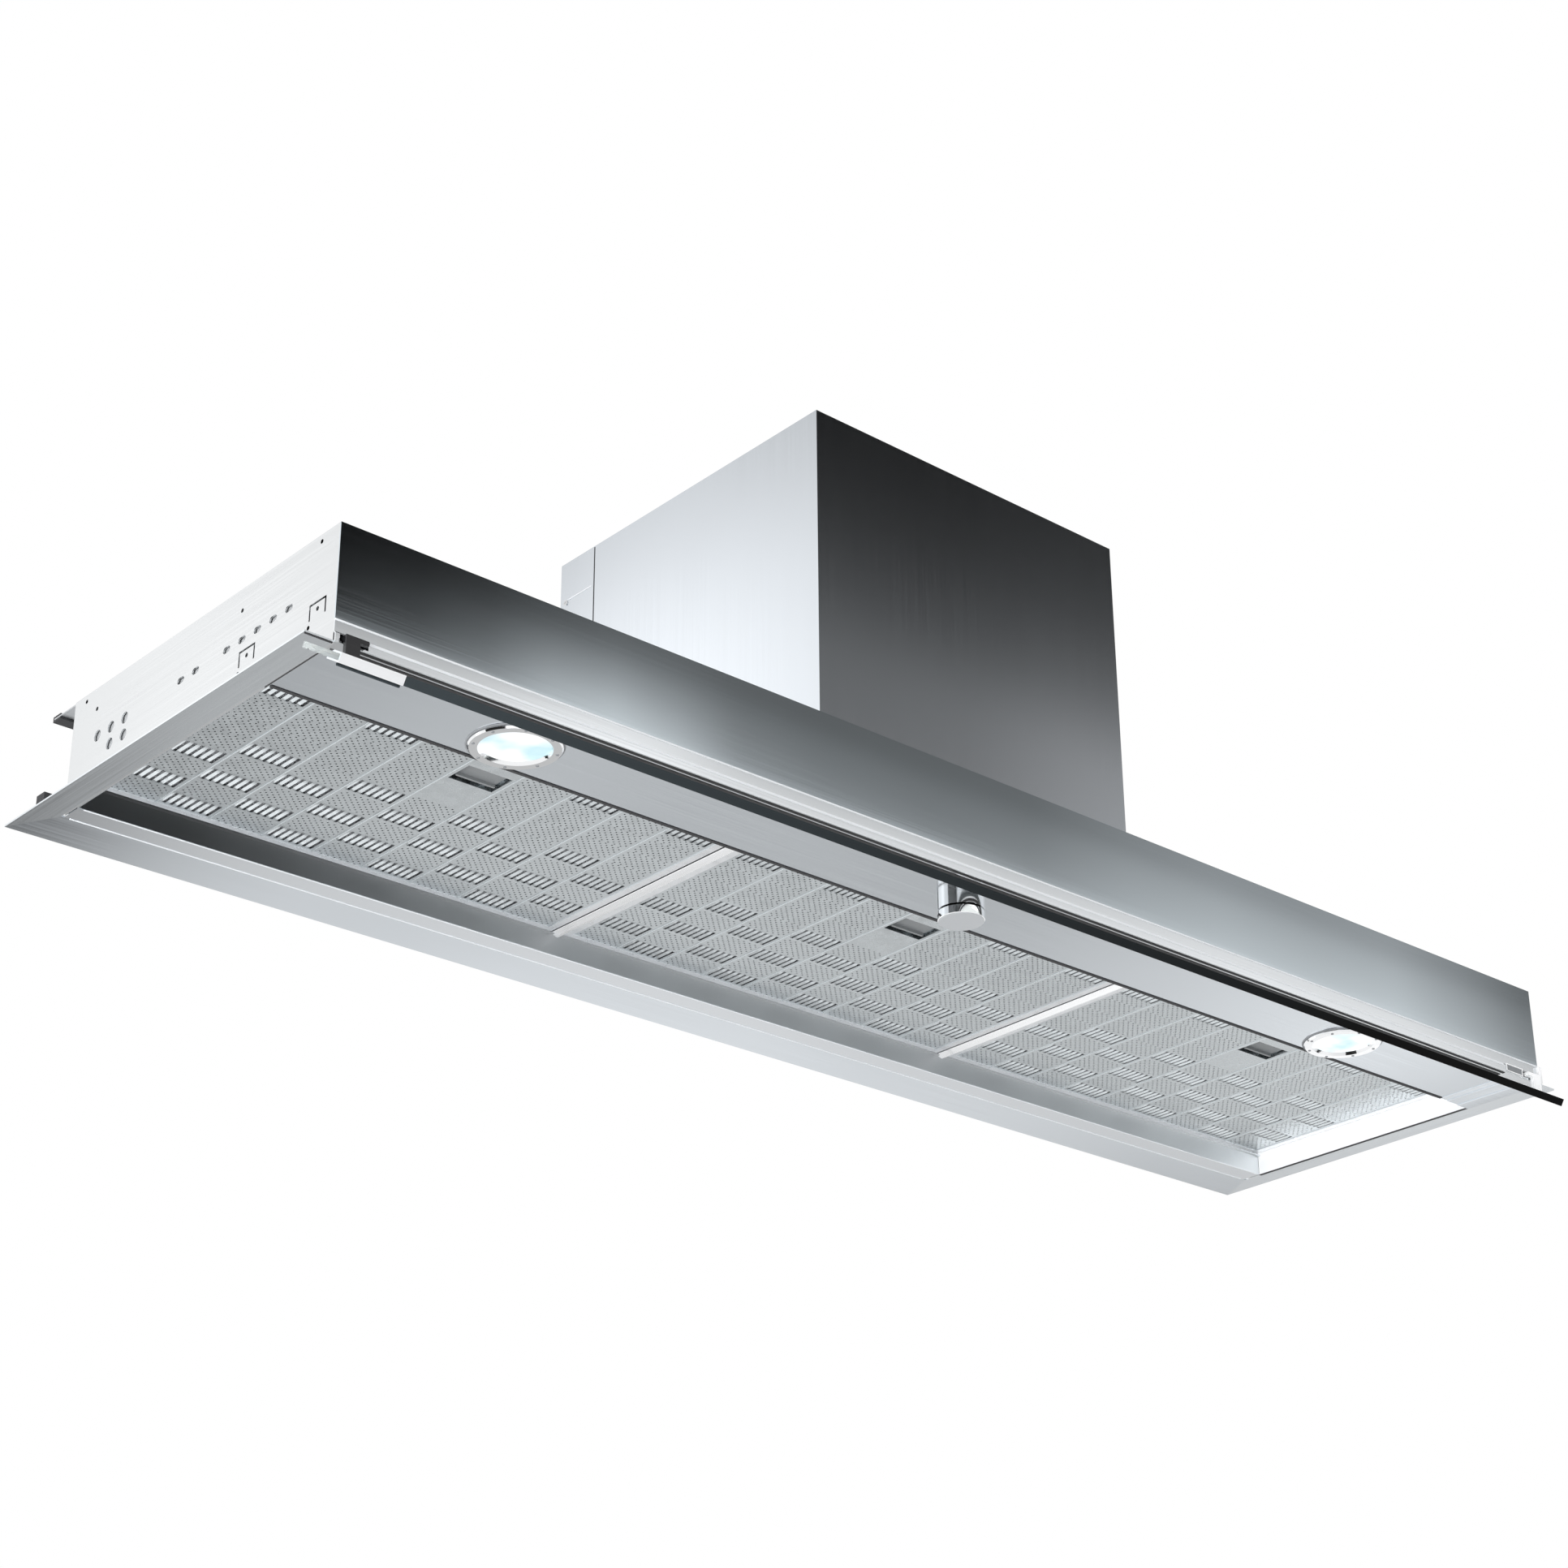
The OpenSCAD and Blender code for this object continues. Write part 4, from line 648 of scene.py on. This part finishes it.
def done(piece, material, body):
    """Gives a finished piece its material, its smooth shading and its body."""
    piece.data.materials.clear()
    piece.data.materials.append(material)
    select_alone(piece)
    bpy.ops.object.shade_smooth_by_angle(angle=math.radians(35))
    even = piece.modifiers.new("even", "WEIGHTED_NORMAL")
    even.keep_sharp = True
    bpy.ops.object.modifier_apply(modifier="even")
    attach(piece, body)


COLUMNS = 9
ROWS = 9
CELLS_X = 15
CELLS_Y = 9
FRAME_LIP = 0.006
FACE_RISE = 0.0008
FACE_T = 0.0005
LOUVRE_DROP = 0.0009
LOUVRE_LEAN = 0.0005
HOLE_WALL = 0.00075
RIB_W = 0.0012
RIB_DROP = 0.0005
RIB_ROUNDING = 0.0004
TUB_FRONT = 0.040
TUB_D = 0.0234
TUB_H = 0.0062
TUB_COLUMN = COLUMNS // 2
TUB_CELLS = (1, 13)
PLAIN_ROWS = (1, 3)
FRONT_RUN = (5, 12)
CHEQUER_ROW = 4
TONGUE_HALF = 0.0075

frame_low, frame_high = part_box("filter_1_frame")
face_x, face_y, face_z = frame_low.x + FRAME_LIP, frame_low.y + FRAME_LIP, frame_low.z + FACE_RISE
middle_x, middle_y = (frame_low.x + frame_high.x) / 2, (frame_low.y + frame_high.y) / 2
cell_x = (frame_high.x - frame_low.x - 2 * FRAME_LIP) / (COLUMNS * CELLS_X)
cell_y = (frame_high.y - frame_low.y - 2 * FRAME_LIP) / (ROWS * CELLS_Y)


def cell_of(part):
    """The column of a part, its cell across the column and its cell along the face, or None outside."""
    i = math.floor((part.center.x - face_x) / cell_x)
    along = math.floor((part.center.y - face_y) / cell_y)
    if not (0 <= i < COLUMNS * CELLS_X and 0 <= along < ROWS * CELLS_Y):
        return None
    return i // CELLS_X, i % CELLS_X, along


def is_plain(column, along):
    """Whether a cell lies in the closed field round the latch."""
    return column == TUB_COLUMN and PLAIN_ROWS[0] <= along // CELLS_Y <= PLAIN_ROWS[1]


def louvre_run(column, along):
    """The first and last cell of the louvres in the block of a cell, or None in a perforated block."""
    row = along // CELLS_Y
    if FRONT_RUN[0] <= along <= FRONT_RUN[1] and column % 2 == 0 and column != TUB_COLUMN:
        return FRONT_RUN
    if row >= CHEQUER_ROW and (column + row) % 2 == 1:
        return row * CELLS_Y + 1, row * CELLS_Y + CELLS_Y - 2
    return None


def is_slit(part):
    """Whether a part is the open slit of a louvre."""
    found = cell_of(part)
    if found is None or part.center.z >= face_z + FACE_T:
        return False
    column, across, along = found
    run = louvre_run(column, along)
    return (not is_plain(column, along) and across % 2 == 1
            and run is not None and run[0] <= along <= run[1])


def is_hole(part):
    """Whether a part is a hole of the perforation."""
    found = cell_of(part)
    if found is None:
        return False
    column, across, along = found
    return (not is_plain(column, along) and louvre_run(column, along) is None
            and 1 <= across <= CELLS_X - 2 and (across + along % CELLS_Y) % 2 == 0)


def is_tub(part):
    """Whether a part lies over the tub of the latch."""
    found = cell_of(part)
    behind = part.center.y - frame_low.y - TUB_FRONT
    return (found is not None and found[0] == TUB_COLUMN and 0 < behind < TUB_D
            and TUB_CELLS[0] <= found[1] <= TUB_CELLS[1])


def is_tongue_slot(part):
    """Whether a part of the tub's front wall stands in the way of the latch tongue."""
    return (abs(part.normal.y) > 0.9 and part.center.y < frame_low.y + TUB_FRONT + TUB_D / 2
            and abs(part.center.x - middle_x) < TONGUE_HALF)


cells = (COLUMNS * CELLS_X + 2, ROWS * CELLS_Y + 2)
bpy.ops.mesh.primitive_grid_add(x_subdivisions=cells[0], y_subdivisions=cells[1], size=1,
                                location=(middle_x, middle_y, face_z))
face = new_piece("filter_1_pressed_face", (cells[0] * cell_x, cells[1] * cell_y, 1))
pick(face, "FACE", is_tub)
bpy.ops.mesh.extrude_region_move(TRANSFORM_OT_translate={"value": (0, 0, TUB_H)})
end_edit()
pick(face, "FACE", is_tongue_slot)
bpy.ops.mesh.delete(type="FACE")
end_edit()
pick(face, "FACE", is_hole)
bpy.ops.mesh.inset(thickness=HOLE_WALL, use_individual=True)
bpy.ops.mesh.delete(type="FACE")
end_edit()

# The left edge of each slit is pressed down and outwards, except for its corners.
lips = set()
for part in face.data.polygons:
    if is_slit(part):
        column, _, along = cell_of(part)
        first, last = louvre_run(column, along)
        for corner in part.vertices:
            spot = face.data.vertices[corner].co
            at_start = along == first and spot.y < part.center.y
            at_end = along == last and spot.y > part.center.y
            if spot.x < part.center.x and not at_start and not at_end:
                lips.add(corner)
pick(face, "FACE", is_slit)
bpy.ops.mesh.delete(type="ONLY_FACE")
end_edit()
pick(face, "VERT", lambda part: part.index in lips)
bpy.ops.transform.translate(value=(-LOUVRE_LEAN, 0, -LOUVRE_DROP))
end_edit()
pick(face, "FACE", lambda part: True)
bpy.ops.mesh.normals_make_consistent(inside=False)
end_edit()
thicken(face, FACE_T)

column_w = CELLS_X * cell_x
rib = start_box("rib", (face_x + column_w - RIB_W / 2, face_y, face_z - FACE_T / 2 - RIB_DROP),
                (face_x + column_w + RIB_W / 2, face_y + ROWS * CELLS_Y * cell_y, face_z))
pick(rib, "EDGE", lambda part: all(rib.data.vertices[v].co.z < face_z - FACE_T for v in part.vertices))
bpy.ops.mesh.bevel(offset=RIB_ROUNDING, segments=2)
end_edit()
ribs = [rib] + [copied(rib, "rib", (i * column_w, 0, 0)) for i in range(1, COLUMNS - 1)]
face = joined([face, *ribs], "filter_1_pressed_face")

face_aluminium = sheet_metal("pressed aluminium", (0.64, 0.68, 0.70), roughness=0.25, stretch=EVEN,
                             depth=0.02, cloud=30.0, spread=0.05)
faces = {1: face}
for number in (2, 3):
    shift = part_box(f"filter_{number}_frame")[0] - frame_low
    faces[number] = copied(face, f"filter_{number}_pressed_face", shift)
for number, face in faces.items():
    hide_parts(f"filter_{number}_face")
    done(face, face_aluminium, f"filter_{number}")


# Dividers between the filters: folded channels with a low bright cap pressed on below,
# which is wider at the wall and leaves room for the filters to tilt.
def soften(piece, width, segments=2, angle=30):
    """Rounds the sharp edges of a piece and applies that."""
    rounded = piece.modifiers.new("rounded", "BEVEL")
    rounded.width = width
    rounded.segments = segments
    rounded.limit_method = "ANGLE"
    rounded.angle_limit = math.radians(angle)
    bpy.context.view_layer.objects.active = piece
    bpy.ops.object.modifier_apply(modifier="rounded")


CAP_HALF = 0.0044
CAP_TOP = 0.0362
CAP_EDGE = 0.0357
CAP_RIDGE = 0.0336
CAP_RIDGE_SHIFT = 0.0022
CAP_FRONT_SHARE = 0.78
CAP_ROUNDING = 0.0003
NEAR_ENOUGH = 1e-5
bright_aluminium = sheet_metal("bright aluminium", (0.95, 0.96, 0.97), roughness=0.25, stretch=ALONG_Y,
                               depth=0.01)
dress(bright_aluminium, "cross_bar_left", "cross_bar_right")
bar_low, bar_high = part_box("cross_bar_left")
middle = (bar_low.x + bar_high.x) / 2
ridge = middle + CAP_RIDGE_SHIFT
cap = start_box("divider_cap_left", (middle - CAP_HALF, bar_low.y, CAP_EDGE),
                (middle + CAP_HALF, bar_high.y, CAP_TOP))
pick(cap, "FACE", lambda part: True)
bpy.ops.mesh.bisect(plane_co=(ridge, 0, 0), plane_no=(1, 0, 0))
end_edit()
pick(cap, "VERT", lambda part: abs(part.co.x - ridge) < NEAR_ENOUGH and part.co.z < CAP_TOP - NEAR_ENOUGH)
bpy.ops.transform.translate(value=(0, 0, CAP_RIDGE - CAP_EDGE))
end_edit()
pick(cap, "VERT", lambda part: part.co.y < bar_low.y + NEAR_ENOUGH)
bpy.ops.transform.resize(value=(CAP_FRONT_SHARE, 1, 1), center_override=(middle, bar_low.y, CAP_TOP))
end_edit()
soften(cap, width=CAP_ROUNDING, angle=10)
for cap in (cap, copied(cap, "divider_cap_right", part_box("cross_bar_right")[0] - bar_low)):
    done(cap, bright_aluminium, "canopy")


# Thin dark strips of black rubber, each a rounded strip that stands a little proud. Those in the
# joints round the lamp panel and the flanges stand in for the shadow in the gaps there, as painted
# shadow; the two under the trim are dark lines along it.
def strip(name, x_range, y_range, z_range, material, rounding=0.0001):
    """A thin strip with rounded edges, fixed to the canopy."""
    made = start_box(name, *zip(x_range, y_range, z_range))
    soften(made, rounding, segments=3)
    done(made, material, "canopy")


UNDERSIDE = 0.0191
TRIM_X = (-0.561, 0.533)
EDGE_Z = (0.0182, UNDERSIDE)
DARK_STRIP_Z = (0.0186, UNDERSIDE)
WIDE_STRIP_Z = (0.0184, UNDERSIDE)
WIDE_ROUNDING = 0.00025
strip("trim_dark_strip_front", TRIM_X, (-0.1686, -0.1664), DARK_STRIP_Z, rubber)
strip("trim_dark_strip_rear", TRIM_X, (-0.1641, -0.1605), DARK_STRIP_Z, rubber)
# Painted shadow: the four strips below stand for the shade in the gaps at the lamp panel and flanges.
strip("panel_seam_shadow_left", (-0.5774, -0.5768), (-0.1525, -0.0945), DARK_STRIP_Z, rubber)
strip("flange_edge_shadow_left", (-0.5975, -0.5785), (-0.1686, -0.1676), EDGE_Z, rubber)
strip("recess_shadow_strip_front", (-0.5757, 0.541), (-0.0996, -0.0970), WIDE_STRIP_Z, rubber,
      WIDE_ROUNDING)
strip("flange_shadow_strip_right", (0.5760, 0.5784), (-0.1520, 0.1270), WIDE_STRIP_Z, rubber,
      WIDE_ROUNDING)


# Beads of drawn bright aluminium along the trim and along the band behind the filters.
# They are pressed into grooves of the sheets.
BAND_X = (-0.572, 0.572)
BAND_Z = (0.0187, UNDERSIDE)
bead_metal = sheet_metal("drawn bead aluminium", (0.75, 0.775, 0.80), roughness=0.55, stretch=ALONG_X,
                         depth=0.001, spread=0.01, metallic=0.3)
strip("trim_bead_top", (-0.5779, 0.5779), (-0.1691, -0.1687), (0.0338, 0.0350), bead_metal)
strip("trim_bead_middle", (-0.5540, 0.5300), (-0.1705, -0.1702), (0.0238, 0.0256), bead_metal)
strip("band_bead_front", BAND_X, (0.1266, 0.1276), BAND_Z, bead_metal)
strip("band_bead_rear", BAND_X, (0.1446, 0.1456), BAND_Z, bead_metal)


# Joints on the two sides of the fan housing: an upright rubber seam where the cover meets the rear
# sheet, and a bright folded edge high up behind it.
JOINT_X = (0.1538, 0.1543)
SEAM_Y = (0.1406, 0.1414)
SEAM_Z = (0.1005, 0.3780)
FOLD_Y = (0.1440, 0.1745)
FOLD_Z = (0.3444, 0.3454)
for name, side in (("left", -1), ("right", 1)):
    x_range = sorted(side * x for x in JOINT_X)
    strip("housing_seam_" + name, x_range, SEAM_Y, SEAM_Z, rubber)
    strip("housing_fold_" + name, x_range, FOLD_Y, FOLD_Z, bead_metal)


# Lip under the bright clamp at the left end of the glass, the end of the black edge profile.
# It is moulded and pushed on with the profile.
lip = start_box("clamp_lip_left", low=(-0.5800, -0.1772, 0.0001), high=(-0.5362, -0.1757, 0.0018))
soften(lip, width=0.0003)
done(lip, edge_black, "screen")


# Stepped end moulding beside the right end of the lamp panel: three bright steps towards the flange,
# folded from the steel of the panel.
STEP_LOW = (0.541, -0.1545, 0.0186)
STEP_HIGH = (0.5758, -0.0985, UNDERSIDE)
STEP_EDGES = (0.549, 0.5625)
STEP_DROP = 0.0007
moulding = start_box("panel_end_moulding", STEP_LOW, STEP_HIGH)
for edge in STEP_EDGES:
    pick(moulding, "FACE", lambda part: True)
    bpy.ops.mesh.bisect(plane_co=(edge, 0, 0), plane_no=(1, 0, 0))
    end_edit()
    pick(moulding, "FACE", lambda part: part.normal.z < -0.9 and part.center.x > edge)
    bpy.ops.mesh.extrude_region_move(TRANSFORM_OT_translate={"value": (0, 0, -STEP_DROP)})
    end_edit()
soften(moulding, width=0.00025)
done(moulding, steel, "canopy")


# End block of the trim at the right, moulded from white plastic. It stands just off the trim and
# leaves the way of the screen arm free.
block = start_box("trim_end_block", low=(0.5754, -0.1714, 0.0194), high=(0.5800, -0.1560, 0.0336))
soften(block, width=0.0008, segments=3)
done(block, white_plastic, "canopy")


# Window at the right end of the trim: a frame moulded from white plastic round a dark grey pane,
# both clipped to the face of the trim.
WINDOW_MIDDLE = (0.5435, -0.1707, 0.0232)
WINDOW_SIZE = (0.0212, 0.0066)
FRAME_WALL = 0.0009
FRAME_T = 0.0005
PANE_HALF = WINDOW_SIZE[0] / 2 - FRAME_WALL
PANE_Y = (-0.1706, -0.1702)
PANE_Z = (0.0208, 0.0256)
bpy.ops.mesh.primitive_plane_add(size=1, location=WINDOW_MIDDLE, rotation=(math.radians(90), 0, 0))
window_frame = new_piece("window_frame_right", (*WINDOW_SIZE, 1))
pick(window_frame, "FACE", lambda part: True)
bpy.ops.mesh.inset(thickness=FRAME_WALL)
bpy.ops.mesh.delete(type="FACE")
end_edit()
thicken(window_frame, FRAME_T)
soften(window_frame, width=0.00012)
done(window_frame, white_plastic, "canopy")
pane = start_box("window_pane_right", (WINDOW_MIDDLE[0] - PANE_HALF, PANE_Y[0], PANE_Z[0]),
                 (WINDOW_MIDDLE[0] + PANE_HALF, PANE_Y[1], PANE_Z[1]))
soften(pane, width=0.0001)
done(pane, grey_plastic, "canopy")


# Grey rings round the two lamp rings, a little flattened, lying on the lamp panel. They stand in for
# the dark reflection round the edge of each chrome ring, as painted reflection.
DARK_RING_R = 0.0305
DARK_RING_WALL = 0.0008
DARK_RING_Z = 0.0189
DARK_RING_FLATNESS = 0.6
ring_low, ring_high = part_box("lamp_ring_left")
ring_middle = (ring_low + ring_high) / 2
ring_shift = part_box("lamp_ring_right")[0] - ring_low
bpy.ops.mesh.primitive_torus_add(location=(ring_middle.x, ring_middle.y, DARK_RING_Z),
                                 major_radius=DARK_RING_R, minor_radius=DARK_RING_WALL,
                                 major_segments=96, minor_segments=10)
dark_ring = new_piece("lamp_dark_ring_left", (1, 1, DARK_RING_FLATNESS))
for dark_ring in (dark_ring, copied(dark_ring, "lamp_dark_ring_right", ring_shift)):
    done(dark_ring, grey_plastic, "canopy")


# Clips that hold the lamp glass in its ring: eight small buttons of grey plastic, moulded and
# pressed into the face of the ring.
CLIP_COUNT = 8
CLIP_START = 22.5
CLIP_R = 0.0011
CLIP_H = 0.0007
CLIP_RING_R = 0.0268
bpy.ops.mesh.primitive_cylinder_add(vertices=16, radius=CLIP_R, depth=CLIP_H)
first_clip = new_piece("clip")
soften(first_clip, width=0.0002)
clips = []
for i in range(CLIP_COUNT):
    turn = math.radians(CLIP_START + i * 360 / CLIP_COUNT)
    at = (ring_middle.x + CLIP_RING_R * math.cos(turn), ring_middle.y + CLIP_RING_R * math.sin(turn),
          ring_low.z)
    clips.append(copied(first_clip, "clip", at))
bpy.data.objects.remove(first_clip)
clip_ring = joined(clips, "lamp_clips_left")
for clip_ring in (clip_ring, copied(clip_ring, "lamp_clips_right", ring_shift)):
    done(clip_ring, grey_plastic, "canopy")


# Fixing rails behind the punched slots of the side panels: zinc-plated bars that take the cupboard
# screws, welded to the panels.
RAIL_MIDDLE = 0.5752
RAIL_T = 0.0012
RAIL_Y = (-0.150, 0.128)
RAIL_Z = (0.047, 0.090)
rail_zinc = sheet_metal("rail zinc", (0.34, 0.35, 0.36), roughness=0.6, stretch=EVEN,
                        cloud=30.0, spread=0.1, metallic=0.1)
rail = start_box("fixing_rail_left", (-RAIL_MIDDLE - RAIL_T / 2, RAIL_Y[0], RAIL_Z[0]),
                 (-RAIL_MIDDLE + RAIL_T / 2, RAIL_Y[1], RAIL_Z[1]))
soften(rail, width=0.0003)
for rail in (rail, copied(rail, "fixing_rail_right", (2 * RAIL_MIDDLE, 0, 0))):
    done(rail, rail_zinc, "canopy")


# Lid of the terminal box: a cap of black plastic, moulded with a shallow field on top.
# It overlaps the box a little on all sides.
LID_OVERLAP = 0.0008
LID_H = 0.0070
LID_BORDER = 0.0100
LID_SINK = 0.0004
LARGE_FACE = 0.001
box_low, box_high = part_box("terminal_box")
lid = start_box("terminal_lid", (box_low.x - LID_OVERLAP, box_low.y - LID_OVERLAP, box_high.z - LID_H),
                (box_high.x + LID_OVERLAP, box_high.y + LID_OVERLAP, box_high.z + LID_OVERLAP))
soften(lid, width=0.0010, segments=3)
pick(lid, "FACE", lambda part: part.normal.z > 0.9 and part.area > LARGE_FACE)
bpy.ops.mesh.inset(thickness=LID_BORDER)
bpy.ops.mesh.extrude_region_move(TRANSFORM_OT_translate={"value": (0, 0, -LID_SINK)})
end_edit()
done(lid, black_plastic, "canopy")


# Sheet screws of plated steel: pan heads with a sunk drive, on the sides and the roof of the fan
# housing and on the lid of the terminal box. One is modelled and the others are copies of it.
SCREW_R = 0.0024
SCREW_HEIGHT = 0.0012
SOCKET_WALL = 0.0013
SOCKET_DEPTH = 0.0006
HOUSING_SIDE_X = 0.1543
HOUSING_ROOF_Z = 0.3793
LID_SCREW_Z = box_high.z + 0.0010
LID_SCREW_INSET = 0.006
UP = (0, 0, 0)
LEFT = (0, -90, 0)
RIGHT = (0, 90, 0)
SCREW_PLACES = [(-HOUSING_SIDE_X, 0.1762, 0.3430, LEFT), (HOUSING_SIDE_X, 0.1762, 0.3430, RIGHT)]
SCREW_PLACES += [(x, y, HOUSING_ROOF_Z, UP) for x in (-0.146, 0.146) for y in (-0.110, 0.033, 0.175)]
SCREW_PLACES += [(x, y, LID_SCREW_Z, UP)
                 for x in (box_low.x + LID_SCREW_INSET, box_high.x - LID_SCREW_INSET)
                 for y in (box_low.y + LID_SCREW_INSET, box_high.y - LID_SCREW_INSET)]
bpy.ops.mesh.primitive_cylinder_add(vertices=24, radius=SCREW_R, depth=SCREW_HEIGHT)
first_screw = new_piece("screw")
pick(first_screw, "FACE", lambda part: part.normal.z > 0.9)
bpy.ops.mesh.inset(thickness=SOCKET_WALL)
bpy.ops.mesh.extrude_region_move(TRANSFORM_OT_translate={"value": (0, 0, -SOCKET_DEPTH)})
end_edit()
soften(first_screw, width=0.0003, segments=3)
screws = [copied(first_screw, "screw", (x, y, z), turn) for x, y, z, turn in SCREW_PLACES]
bpy.data.objects.remove(first_screw)
done(joined(screws, "sheet_screws"), plated, "canopy")
